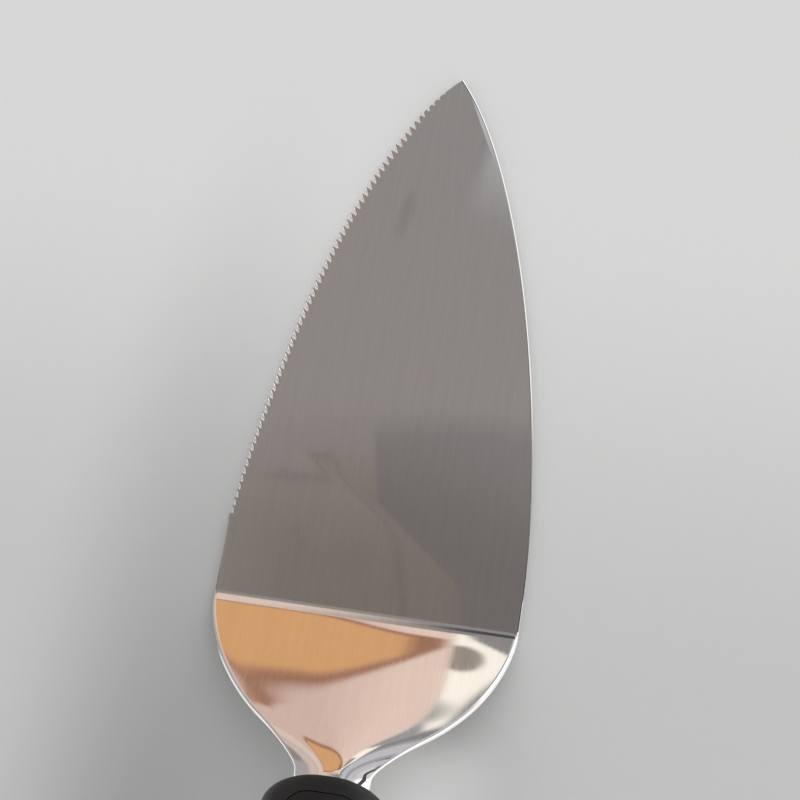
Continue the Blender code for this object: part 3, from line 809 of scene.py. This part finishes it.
def thicken(mesh, thickness):
    """A flat pattern made a slab, by extruding all of its faces upwards."""
    raised = bmesh.ops.extrude_face_region(mesh, geom=mesh.faces[:])["geom"]
    top = [part for part in raised if isinstance(part, bmesh.types.BMVert)]
    bmesh.ops.translate(mesh, verts=top, vec=(0.0, 0.0, thickness))
    bmesh.ops.recalc_face_normals(mesh, faces=mesh.faces)


def flat_place(vertex):
    """A vertex's place on the flat pattern, rounded so that it can be looked up."""
    return tuple(round(value, PLACE_DIGITS) for value in vertex.co.xy)


def rounded(mesh, rims, width, segments, clamp_overlap):
    """A mesh with the given edges rounded."""
    bmesh.ops.bevel(
        mesh,
        geom=rims,
        offset=width,
        offset_type="OFFSET",
        segments=segments,
        profile=0.5,
        affect="EDGES",
        material=-1,
        clamp_overlap=clamp_overlap,
    )


# The sheet's thickness, and its rounded edges, except on the scalloped rim, which stays as the wheel left it
thicken(sheet, SHEET)
scalloped_rim = {flat_place(vertex) for vertex in strip[0]}
for behind, rounding_width in ((True, SHOULDER_ROUNDING), (False, LEAF_ROUNDING)):
    rims = []
    for edge in sheet.edges:
        start, end = [vertex.co for vertex in edge.verts]
        middle = (start + end) / 2
        gaps = [abs(corner.z - level) for corner in (start, end) for level in (0.0, SHEET)]
        outer = min(gaps) < RIM_TOLERANCE
        level_run = abs(start.z - end.z) < RIM_TOLERANCE
        on_scallops = all(flat_place(vertex) in scalloped_rim for vertex in edge.verts)
        if outer and level_run and (middle.y < CREASE_BEND) == behind and not on_scallops:
            if edge.calc_face_angle() > RIM_ANGLE:
                rims.append(edge)
    rounded(sheet, rims, rounding_width, EDGE_SEGMENTS, False)

# The pressed form: each place of the flat pattern is bent into the rise, neck and tang
for vertex in sheet.verts:
    if vertex.co.y > CREASE_BEND and vertex.co.z > SHEET / 2:
        vertex.co.z = SHEET - (SHEET - vertex.co.z) * LEAF_ROUNDING_FLATNESS
    vertex.co.z *= 1 - min(1.0, max(0.0, vertex[drop] / SHEET))
    if vertex.co.y < CREASE_BEND:
        vertex.co = pressed(vertex.co)
    vertex.co += CREASE

# The tang's two holes, square to the handle's length
neck_y, neck_z = rise_point(NECK_ARC, rise_curve(plain_pitch))
handle_base = Vector((NECK_SWAY, neck_y, neck_z)) - HANDLE_DROP * Vector(
    (0.0, math.sin(HANDLE_ANGLE), math.cos(HANDLE_ANGLE))
)
handle_place = Matrix.Translation(CREASE + handle_base) @ Matrix.Rotation(-HANDLE_ANGLE, 4, "X")


def upright_rod(radius, back, low, high):
    """A rod square to the handle's length, on its centre line."""
    mesh = bmesh.new()
    bmesh.ops.create_cone(
        mesh,
        cap_ends=True,
        segments=HOLE_SIDES,
        radius1=radius,
        radius2=radius,
        depth=high - low,
        matrix=Matrix.Translation((0.0, -back, (low + high) / 2)),
    )
    return mesh


def carve(mesh, other, operation):
    """A bmesh cut by or joined with another, through a Boolean that is applied at once."""
    made = []
    for name, source in (("carved", mesh), ("carver", other)):
        data = bpy.data.meshes.new(name)
        source.to_mesh(data)
        source.free()
        made.append(bpy.data.objects.new(name, data))
        view.collection.objects.link(made[-1])
    boolean = made[0].modifiers.new("carve", "BOOLEAN")
    boolean.operation = operation
    boolean.solver = "EXACT"
    boolean.object = made[1]
    bpy.context.view_layer.update()
    result = bmesh.new()
    result.from_object(made[0], bpy.context.evaluated_depsgraph_get())
    for item in made:
        data = item.data
        bpy.data.objects.remove(item)
        bpy.data.meshes.remove(data)
    return result


for back in PIN_PLACES:
    hole = upright_rod(PIN_RADIUS + PIN_CLEARANCE, back, -PIN_HOLE_REACH, PIN_HOLE_REACH)
    bmesh.ops.transform(hole, matrix=handle_place, verts=hole.verts)
    sheet = carve(sheet, hole, "DIFFERENCE")

STEEL_COLOUR = (0.70, 0.69, 0.68)
STEEL_DARK_COLOUR = (0.655, 0.643, 0.632)
GROUND_GLINT_COLOUR = (0.98, 0.98, 0.98)
GROUND_ROUGHNESS = 0.25
STEEL_ROUGHNESS = 0.045
SHEEN_ROUGHNESS = (0.022, 0.040)
STREAK_SCALE = (5200.0, 260.0, 260.0)
BROAD_STREAK_SCALE = (900.0, 40.0, 40.0)
FINE_BAND, BROAD_BAND, SHEEN_BAND = (0.30, 0.70), (0.35, 0.65), (0.25, 0.75)
FINE_SHARE = 0.6
STREAK_STRENGTH, STREAK_DEPTH = 0.05, 0.0000025
GROUND_DEPTHS = (0.00001, 0.00008)
BLADE_SMOOTHING = math.radians(32)


def drawn_out(nodes, whole, scale):
    """Coordinates scaled by axis, which draws a pattern out along the axis of the least scale."""
    mapping = nodes.tree.nodes.new("ShaderNodeMapping")
    mapping.inputs["Scale"].default_value = scale
    nodes.plug(whole, mapping.inputs["Vector"])
    return mapping.outputs[0]


def relief(nodes, shader, pattern, strength, depth):
    """A pattern's slight relief on a material's surface."""
    bump = nodes.tree.nodes.new("ShaderNodeBump")
    bump.inputs["Strength"].default_value = strength
    bump.inputs["Distance"].default_value = depth
    nodes.plug(pattern, bump.inputs["Height"])
    nodes.plug(bump.outputs["Normal"], shader.inputs["Normal"])


steel, nodes, shader = surface("satin_steel", STEEL_COLOUR, STEEL_ROUGHNESS, metallic=1.0)
whole = nodes.place()
fine = nodes.noise(drawn_out(nodes, whole, STREAK_SCALE))
broad = nodes.noise(drawn_out(nodes, whole, BROAD_STREAK_SCALE), roughness=0.55)
polish = nodes.math(
    "ADD",
    nodes.step(fine, *FINE_BAND, 0.0, FINE_SHARE),
    nodes.step(broad, *BROAD_BAND, 0.0, 1 - FINE_SHARE),
)
rolled = nodes.mix(polish, STEEL_DARK_COLOUR, STEEL_COLOUR)
depths = nodes.tree.nodes.new("ShaderNodeAttribute")
depths.attribute_name = "drop"
# The ground grooves are rougher, and their near-white colour is a painted glint.
ground_and_glint = nodes.step(depths.outputs["Fac"], *GROUND_DEPTHS)
nodes.plug(nodes.mix(ground_and_glint, rolled, GROUND_GLINT_COLOUR), shader.inputs["Base Color"])
sheen = nodes.step(fine, *SHEEN_BAND, *SHEEN_ROUGHNESS)
rougher = nodes.math("MULTIPLY", ground_and_glint, GROUND_ROUGHNESS)
nodes.plug(nodes.math("ADD", sheen, rougher), shader.inputs["Roughness"])
relief(nodes, shader, fine, STREAK_STRENGTH, STREAK_DEPTH)
blade = piece("steel_blade", sheet, steel)
blade.data.set_sharp_from_angle(angle=BLADE_SMOOTHING)
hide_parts("blade")
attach(blade, "root")

# Handle body: a hollow black moulding with a faint grain, wider at its belly than at its waist.
# The tang passes through a slot in its rounded front, and its butt is open for the end cap.

HANDLE_LENGTH = 0.102
FRONT_HALF_WIDTH = 0.0117
WAIST_HALF_WIDTH = 0.0112
BELLY_HALF_WIDTH = 0.0130
BUTT_HALF_WIDTH = 0.0105
FRONT_HALF_THICKNESS = 0.0078
WAIST_HALF_THICKNESS = 0.0082
BELLY_HALF_THICKNESS = 0.0092
BUTT_HALF_THICKNESS = 0.0066
WAIST_SHARE = 0.22
BELLY_SHARE = 0.60
HANDLE_BOW = 0.0025
SECTION_POWER = 2.6
NOSE_LENGTH = 0.006
NOSE_HEIGHT = 0.003
BUTT_ROUNDING = 0.009
BUTT_HEIGHT = 0.003
NOSE_POWER = 2.5
FACET_SHARE = 0.04
RING_POINTS = 120
NOSE_STEPS = 14
MIDDLE_STEPS = 34
WALL = 0.0020
FRONT_WALL = 0.0055
GAP = 0.0003
OVERRUN = 0.004
SEAM_ROUNDING = 0.0004
SEAM_STEPS = 4
SLOT_FROM_BUTT = 0.0100
SLOT_HALF_LENGTH = 0.0050
SLOT_BEHIND_SEAM = 0.003
SLOT_FRONT = HANDLE_LENGTH - SLOT_FROM_BUTT - SLOT_HALF_LENGTH
BODY_LENGTH = SLOT_FRONT - SLOT_BEHIND_SEAM
PAD_BEFORE_CAP = 0.0175
PAD_END = BODY_LENGTH - PAD_BEFORE_CAP
PAD_START = 0.0045
PAD_HALF_WIDTH = 0.0072
PAD_CORNER = 0.0045
PAD_RECESS = 0.0010

HALF_WIDTHS_ALONG = (FRONT_HALF_WIDTH, WAIST_HALF_WIDTH, BELLY_HALF_WIDTH, BUTT_HALF_WIDTH)
HALF_THICKNESSES = (FRONT_HALF_THICKNESS, WAIST_HALF_THICKNESS, BELLY_HALF_THICKNESS, BUTT_HALF_THICKNESS)
SECTION_SHARES = (0.0, WAIST_SHARE, BELLY_SHARE, 1.0)
WIDTHS = tuple(zip(SECTION_SHARES, HALF_WIDTHS_ALONG))
THICKNESSES = tuple(zip(SECTION_SHARES, HALF_THICKNESSES))


def eased_table(table, place_value):
    """Read a value from rising (place, value) pairs with eased steps between them."""
    for (start, before), (end, after) in zip(table, table[1:]):
        if place_value <= end:
            return before + (after - before) * smooth((place_value - start) / (end - start))
    return table[-1][1]


def rounding(nearness):
    """How much of the full section is left: 1 away from an end, falling to nothing at nearness 1."""
    return (1 - max(0.0, nearness) ** NOSE_POWER) ** (1 / NOSE_POWER)


def section(back):
    """Half width, half thickness and rise of the handle, a distance behind its front."""
    share = min(1.0, back / HANDLE_LENGTH)
    ahead = HANDLE_LENGTH - back
    plan = rounding((1 - FACET_SHARE) * (1 - back / NOSE_LENGTH))
    plan *= rounding((1 - FACET_SHARE) * (1 - ahead / BUTT_ROUNDING))
    side = NOSE_HEIGHT * (1 - rounding(1 - back / NOSE_HEIGHT))
    side += BUTT_HEIGHT * (1 - rounding(1 - ahead / BUTT_ROUNDING))
    rise = HANDLE_BOW * math.sin(math.pi * share)
    return eased_table(WIDTHS, share) * plan, eased_table(THICKNESSES, share) - side, rise


def skin_point(turn, back, offset):
    """A point on the handle's skin, by its turn around the section."""
    half_width, half_thickness, rise = section(back)
    across = math.copysign(abs(math.cos(turn)) ** (2 / SECTION_POWER), math.cos(turn))
    up = math.copysign(abs(math.sin(turn)) ** (2 / SECTION_POWER), math.sin(turn))
    return Vector(((half_width + offset) * across, -back, (half_thickness + offset) * up + rise))


STATIONS = (
    [NOSE_LENGTH * share**2 for share in shares_of(NOSE_STEPS)]
    + [
        NOSE_LENGTH + (HANDLE_LENGTH - NOSE_LENGTH - BUTT_ROUNDING) * share
        for share in shares_of(MIDDLE_STEPS)[1:-1]
    ]
    + [HANDLE_LENGTH - BUTT_ROUNDING * share**2 for share in shares_of(NOSE_STEPS)[::-1]]
)


def handle_length(start, end, offset, start_rounding=0.0, end_rounding=0.0):
    """A closed length of the handle's form, extruded ring by ring, with its end edges rounded."""
    quarter = [math.pi / 2 * share for share in shares_of(SEAM_STEPS)]
    rings = [
        (start + start_rounding * (1 - math.cos(angle)), offset - start_rounding * (1 - math.sin(angle)))
        for angle in quarter
    ]
    middle = (start + start_rounding + GAP, end - end_rounding - GAP)
    rings += [(back, offset) for back in STATIONS if middle[0] < back < middle[1]]
    rings += [
        (end - end_rounding * (1 - math.cos(angle)), offset - end_rounding * (1 - math.sin(angle)))
        for angle in quarter[::-1]
    ]
    if start_rounding == 0.0:
        rings = rings[SEAM_STEPS:]
    if end_rounding == 0.0:
        rings = rings[: len(rings) - SEAM_STEPS]
    mesh = bmesh.new()
    turns = mesh.verts.layers.float.new("turn")
    ring = bmesh.ops.create_circle(mesh, cap_ends=False, segments=RING_POINTS, radius=1.0)["verts"]
    for vertex in ring:
        vertex[turns] = math.atan2(vertex.co.y, vertex.co.x)
    ring_edges = mesh.edges[:]
    bmesh.ops.edgeloop_fill(mesh, edges=ring_edges)
    for index, (back, inset) in enumerate(rings):
        if index:
            grown = bmesh.ops.extrude_edge_only(mesh, edges=ring_edges)["geom"]
            ring = [part for part in grown if isinstance(part, bmesh.types.BMVert)]
            ring_edges = [part for part in grown if isinstance(part, bmesh.types.BMEdge)]
            ring_edges = [edge for edge in ring_edges if all(vertex in ring for vertex in edge.verts)]
        for vertex in ring:
            vertex.co = skin_point(vertex[turns], back, inset)
    bmesh.ops.edgeloop_fill(mesh, edges=ring_edges)
    mesh.normal_update()
    bmesh.ops.recalc_face_normals(mesh, faces=mesh.faces)
    return mesh


def rounded_outline(half_width, front, back, corner, steps):
    """A rounded rectangle's points, seen from above, around the handle's centre line."""
    points = []
    for quarter, (side, end) in enumerate(((1, -front), (-1, -front), (-1, -back), (1, -back))):
        inward = -1 if quarter < 2 else 1
        centre = Vector((side * (half_width - corner), end + inward * corner, 0.0))
        for share in shares_of(steps):
            angle = math.pi / 2 * (quarter + share)
            points.append(centre + Vector((math.cos(angle), math.sin(angle), 0.0)) * corner)
    return points


def upright_slab(half_width, front, back, corner, low, high, steps=10):
    """An upright block with rounded corners."""
    mesh = bmesh.new()
    outline = rounded_outline(half_width, front, back, corner, steps)
    mesh.faces.new([mesh.verts.new(point + Vector((0.0, 0.0, low))) for point in outline])
    bmesh.ops.remove_doubles(mesh, verts=mesh.verts, dist=GAP / 100)
    thicken(mesh, high - low)
    return mesh


def slot_through(grow):
    """The neck's and tang's room: their sheet, a clearance thicker and wider all round."""
    mesh = bmesh.new()
    slot_arcs = [NECK_ARC - OVERRUN] + arcs[-TANG_ROWS - 2 :] + [TANG_END + grow]
    table = grid_of(mesh, 2 * MIDDLE_COLUMNS, len(slot_arcs) - 1)
    for arc, row in zip(slot_arcs, table):
        half = lerp_table(HALF_WIDTHS, arc) + grow
        for share, vertex in zip(shares_of(2 * MIDDLE_COLUMNS), row):
            vertex.co = (half * (2 * share - 1), -arc, -grow)
    thicken(mesh, SHEET + 2 * grow)
    for vertex in mesh.verts:
        vertex.co = pressed(vertex.co) + CREASE
    mesh.normal_update()
    bmesh.ops.recalc_face_normals(mesh, faces=mesh.faces)
    bmesh.ops.transform(mesh, matrix=handle_place.inverted(), verts=mesh.verts)
    return mesh


def set_in_place(mesh, name, material, angle):
    """A handle piece moved from the handle's own frame to its place, with its crisp edges marked."""
    bmesh.ops.transform(mesh, matrix=handle_place, verts=mesh.verts)
    made = piece(name, mesh, material)
    made.data.set_sharp_from_angle(angle=angle)
    return made


body_mesh = handle_length(0.0, BODY_LENGTH, 0.0, end_rounding=SEAM_ROUNDING)
body_mesh = carve(body_mesh, handle_length(FRONT_WALL, BODY_LENGTH + OVERRUN, -WALL), "DIFFERENCE")
body_mesh = carve(body_mesh, slot_through(GAP), "DIFFERENCE")
pad_top = BELLY_HALF_THICKNESS + HANDLE_BOW + OVERRUN
recess = upright_slab(PAD_HALF_WIDTH, PAD_START, PAD_END, PAD_CORNER, 0.0, pad_top)
recess = carve(recess, handle_length(0.0, BODY_LENGTH, -PAD_RECESS), "DIFFERENCE")
body_mesh = carve(body_mesh, recess, "DIFFERENCE")
for back in PIN_PLACES:
    _, half_thickness, rise = section(back)
    foot = rise - half_thickness + WALL + GAP
    hole = upright_rod(PIN_RADIUS + PIN_CLEARANCE, back, foot, pad_top)
    body_mesh = carve(body_mesh, hole, "DIFFERENCE")

PLASTIC_COLOUR = (0.0090, 0.0086, 0.0086)
PLASTIC_PALE_COLOUR = (0.0135, 0.0130, 0.0130)
SPECK_COLOUR = (0.075, 0.072, 0.070)
PLASTIC_ROUGHNESS = 0.50
PLASTIC_SHEEN = 0.25
CLOUD_SCALE, GRAIN_SCALE, SPECK_SCALE, SPECK_FIELD_SCALE = 110.0, 3200.0, 900.0, 700.0
CLOUD_BAND, SPECK_EDGE, SPECK_FIELD_BAND = (0.35, 0.68), (0.10, 0.19), (0.60, 0.68)
POLISH_BAND = (0.3, 0.7)
DULLER, SHINIER = 0.05, 0.06
GRAIN_STRENGTH, GRAIN_DEPTH = 0.35, 0.00008
BODY_SMOOTHING = math.radians(30)


def moulded_plastic(name, colour, pale_colour, speck_colour, roughness):
    """A moulded plastic with a fine eroded grain, small pale specks and slightly polished raised places."""
    made, nodes, shader = surface(name, colour, roughness)
    whole = nodes.place()
    cloud = nodes.noise(whole, CLOUD_SCALE, detail=4.0, roughness=0.55)
    grain = nodes.noise(whole, GRAIN_SCALE)
    specks = nodes.add("ShaderNodeTexVoronoi", Vector=whole, Scale=SPECK_SCALE, Randomness=1.0)
    field = nodes.noise(whole, SPECK_FIELD_SCALE, detail=1.0, roughness=0.5)
    spotted = nodes.times(nodes.step(specks, *SPECK_EDGE, 1.0, 0.0), nodes.step(field, *SPECK_FIELD_BAND))
    tone = nodes.mix(nodes.step(cloud, *CLOUD_BAND), colour, pale_colour)
    nodes.plug(nodes.mix(spotted, tone, speck_colour), shader.inputs["Base Color"])
    sheen = nodes.step(cloud, *POLISH_BAND, roughness + DULLER, roughness - SHINIER)
    nodes.plug(sheen, shader.inputs["Roughness"])
    shader.inputs["Specular IOR Level"].default_value = PLASTIC_SHEEN
    relief(nodes, shader, grain, GRAIN_STRENGTH, GRAIN_DEPTH)
    return made


black_plastic = moulded_plastic(
    "matte_black_plastic", PLASTIC_COLOUR, PLASTIC_PALE_COLOUR, SPECK_COLOUR, PLASTIC_ROUGHNESS
)
body = set_in_place(body_mesh, "black_handle_body", black_plastic, BODY_SMOOTHING)
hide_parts("handle_body")
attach(body, "root")

# Grip pad: a strip of soft black rubber, a little warmer in tone, let into the handle's top face.
# Its edge is rolled over, and a hairline gap parts it from the harder moulding around it.

PAD_PROUD = 0.0002
PAD_EDGE = 0.00035
PAD_COLUMNS = 26
PAD_ROWS = 110
PAD_EDGE_SEGMENTS = 3
RUBBER_COLOUR = (0.0075, 0.0066, 0.0064)
RUBBER_PALE_COLOUR = (0.0115, 0.0102, 0.0098)
RUBBER_SPECK_COLOUR = (0.045, 0.041, 0.039)
RUBBER_ROUGHNESS = 0.70
PAD_SMOOTHING = math.radians(40)
UPWARD = 0.5

pad_mesh = bmesh.new()
pad_half = PAD_HALF_WIDTH - GAP
pad_front, pad_back, pad_corner = PAD_START + GAP, PAD_END - GAP, PAD_CORNER - GAP
for row_share, row in zip(shares_of(PAD_ROWS), grid_of(pad_mesh, PAD_COLUMNS, PAD_ROWS)):
    eased = (1 - math.cos(math.pi * row_share)) / 2
    back = pad_front + (pad_back - pad_front) * eased
    near_end = min(back - pad_front, pad_back - back, pad_corner)
    half = pad_half - pad_corner + math.sqrt(max(0.0, pad_corner**2 - (pad_corner - near_end) ** 2))
    for column_share, vertex in zip(shares_of(PAD_COLUMNS), row):
        vertex.co = (half * math.sin(math.pi * (column_share - 0.5)), -back, 0.0)
pad_depth = PAD_RECESS - GAP + PAD_PROUD
thicken(pad_mesh, pad_depth)
for vertex in pad_mesh.verts:
    edge_distance = pad_depth - vertex.co.z
    half_width, half_thickness, rise = section(-vertex.co.y)
    crown = (1 - min(1.0, abs(vertex.co.x) / half_width) ** SECTION_POWER) ** (1 / SECTION_POWER)
    vertex.co.z = rise + (half_thickness + PAD_PROUD) * crown - edge_distance
pad_rims = [
    edge
    for edge in pad_mesh.edges
    if edge.calc_face_angle() > RIM_ANGLE and sum(face.normal.z for face in edge.link_faces) > UPWARD
]
rounded(pad_mesh, pad_rims, PAD_EDGE, PAD_EDGE_SEGMENTS, True)
rubber = moulded_plastic(
    "soft_black_rubber", RUBBER_COLOUR, RUBBER_PALE_COLOUR, RUBBER_SPECK_COLOUR, RUBBER_ROUGHNESS
)
pad = set_in_place(pad_mesh, "soft_grip_pad", rubber, PAD_SMOOTHING)
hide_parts("grip_pad")
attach(pad, "root")

# End cap: the plug that closes the handle's butt, moulded in the same black plastic.
# Its spigot is a push fit in the body, and a rounded slot through it takes a hook.

SPIGOT_LENGTH = 0.007
CAP_WALL = 0.0016
SLOT_HALF_WIDTH = 0.0032
SLOT_ROUNDING = 0.0006
SLOT_ROUNDING_SEGMENTS = 3
SLOT_RIM_ANGLE = 0.8
SLOT_STEPS = 12

cap_mesh = handle_length(BODY_LENGTH + GAP, HANDLE_LENGTH, 0.0, start_rounding=SEAM_ROUNDING)
spigot = handle_length(BODY_LENGTH - SPIGOT_LENGTH, BODY_LENGTH + OVERRUN, -WALL - GAP)
cap_mesh = carve(cap_mesh, spigot, "UNION")
hollow = handle_length(BODY_LENGTH - SPIGOT_LENGTH - OVERRUN, SLOT_FRONT - CAP_WALL, -WALL - GAP - CAP_WALL)
cap_mesh = carve(cap_mesh, hollow, "DIFFERENCE")
slot_corner = SLOT_HALF_WIDTH * (1 - FACET_SHARE)
slot_back = SLOT_FRONT + 2 * SLOT_HALF_LENGTH
cap_slot = upright_slab(SLOT_HALF_WIDTH, SLOT_FRONT, slot_back, slot_corner, -pad_top, pad_top, SLOT_STEPS)
cap_mesh = carve(cap_mesh, cap_slot, "DIFFERENCE")
slot_rims = []
for edge in cap_mesh.edges:
    middle = (edge.verts[0].co + edge.verts[1].co) / 2
    inside = abs(middle.x) < SLOT_HALF_WIDTH + GAP and middle.y < GAP - SLOT_FRONT
    if inside and len(edge.link_faces) == 2 and edge.calc_face_angle() > SLOT_RIM_ANGLE:
        if abs(edge.verts[0].co.z - edge.verts[1].co.z) < SLOT_HALF_WIDTH:
            slot_rims.append(edge)
rounded(cap_mesh, slot_rims, SLOT_ROUNDING, SLOT_ROUNDING_SEGMENTS, True)
cap = set_in_place(cap_mesh, "black_end_cap", black_plastic, BODY_SMOOTHING)
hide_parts("end_cap")
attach(cap, "root")

# Core and pins: hidden in the handle, they keep their CAD shapes and get their own materials.
# The core is grey glass-filled nylon with short pale fibres, and the pins are drawn steel wire.

NYLON_COLOUR = (0.055, 0.057, 0.060)
NYLON_PALE_COLOUR = (0.085, 0.088, 0.092)
FIBRE_COLOUR = (0.30, 0.30, 0.29)
NYLON_CLOUD_SCALE = 160.0
FIBRE_SCALE = (2600.0, 500.0, 2600.0)
FIBRE_EDGE, FIBRE_SHARE = (0.08, 0.20), 0.8
FIBRE_STRENGTH, FIBRE_DEPTH = 0.3, 0.00006
NYLON_ROUGHNESS, NYLON_ROUGHNESS_RANGE = 0.5, (0.45, 0.6)
TONE_BAND = (0.35, 0.65)
PIN_COLOUR = (0.58, 0.57, 0.56)
PIN_DARK_COLOUR = (0.42, 0.41, 0.40)
PIN_ROUGHNESS, PIN_ROUGHNESS_RANGE = 0.3, (0.24, 0.38)
DRAW_LINE_SCALE = (6000.0, 6000.0, 300.0)

nylon, nodes, shader = surface("glass_filled_nylon", NYLON_COLOUR, NYLON_ROUGHNESS)
whole = nodes.place()
cloud = nodes.noise(whole, NYLON_CLOUD_SCALE, detail=4.0)
fibre_place = drawn_out(nodes, whole, FIBRE_SCALE)
fibres = nodes.add("ShaderNodeTexVoronoi", Vector=fibre_place, Scale=1.0, Randomness=1.0)
tone = nodes.mix(nodes.step(cloud, *TONE_BAND), NYLON_COLOUR, NYLON_PALE_COLOUR)
tone = nodes.mix(nodes.step(fibres, *FIBRE_EDGE, FIBRE_SHARE, 0.0), tone, FIBRE_COLOUR)
nodes.plug(tone, shader.inputs["Base Color"])
nodes.plug(nodes.step(cloud, *POLISH_BAND, *NYLON_ROUGHNESS_RANGE), shader.inputs["Roughness"])
relief(nodes, shader, fibres, FIBRE_STRENGTH, FIBRE_DEPTH)

wire, nodes, shader = surface("drawn_steel_wire", PIN_COLOUR, PIN_ROUGHNESS, metallic=1.0)
draw_lines = nodes.noise(drawn_out(nodes, nodes.place(), DRAW_LINE_SCALE))
tone = nodes.mix(nodes.step(draw_lines, *TONE_BAND), PIN_DARK_COLOUR, PIN_COLOUR)
nodes.plug(tone, shader.inputs["Base Color"])
nodes.plug(nodes.step(draw_lines, *POLISH_BAND, *PIN_ROUGHNESS_RANGE), shader.inputs["Roughness"])
for name, material in (("tang_core", nylon), ("tang_pin_front", wire), ("tang_pin_rear", wire)):
    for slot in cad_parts[name].material_slots:
        slot.material = material
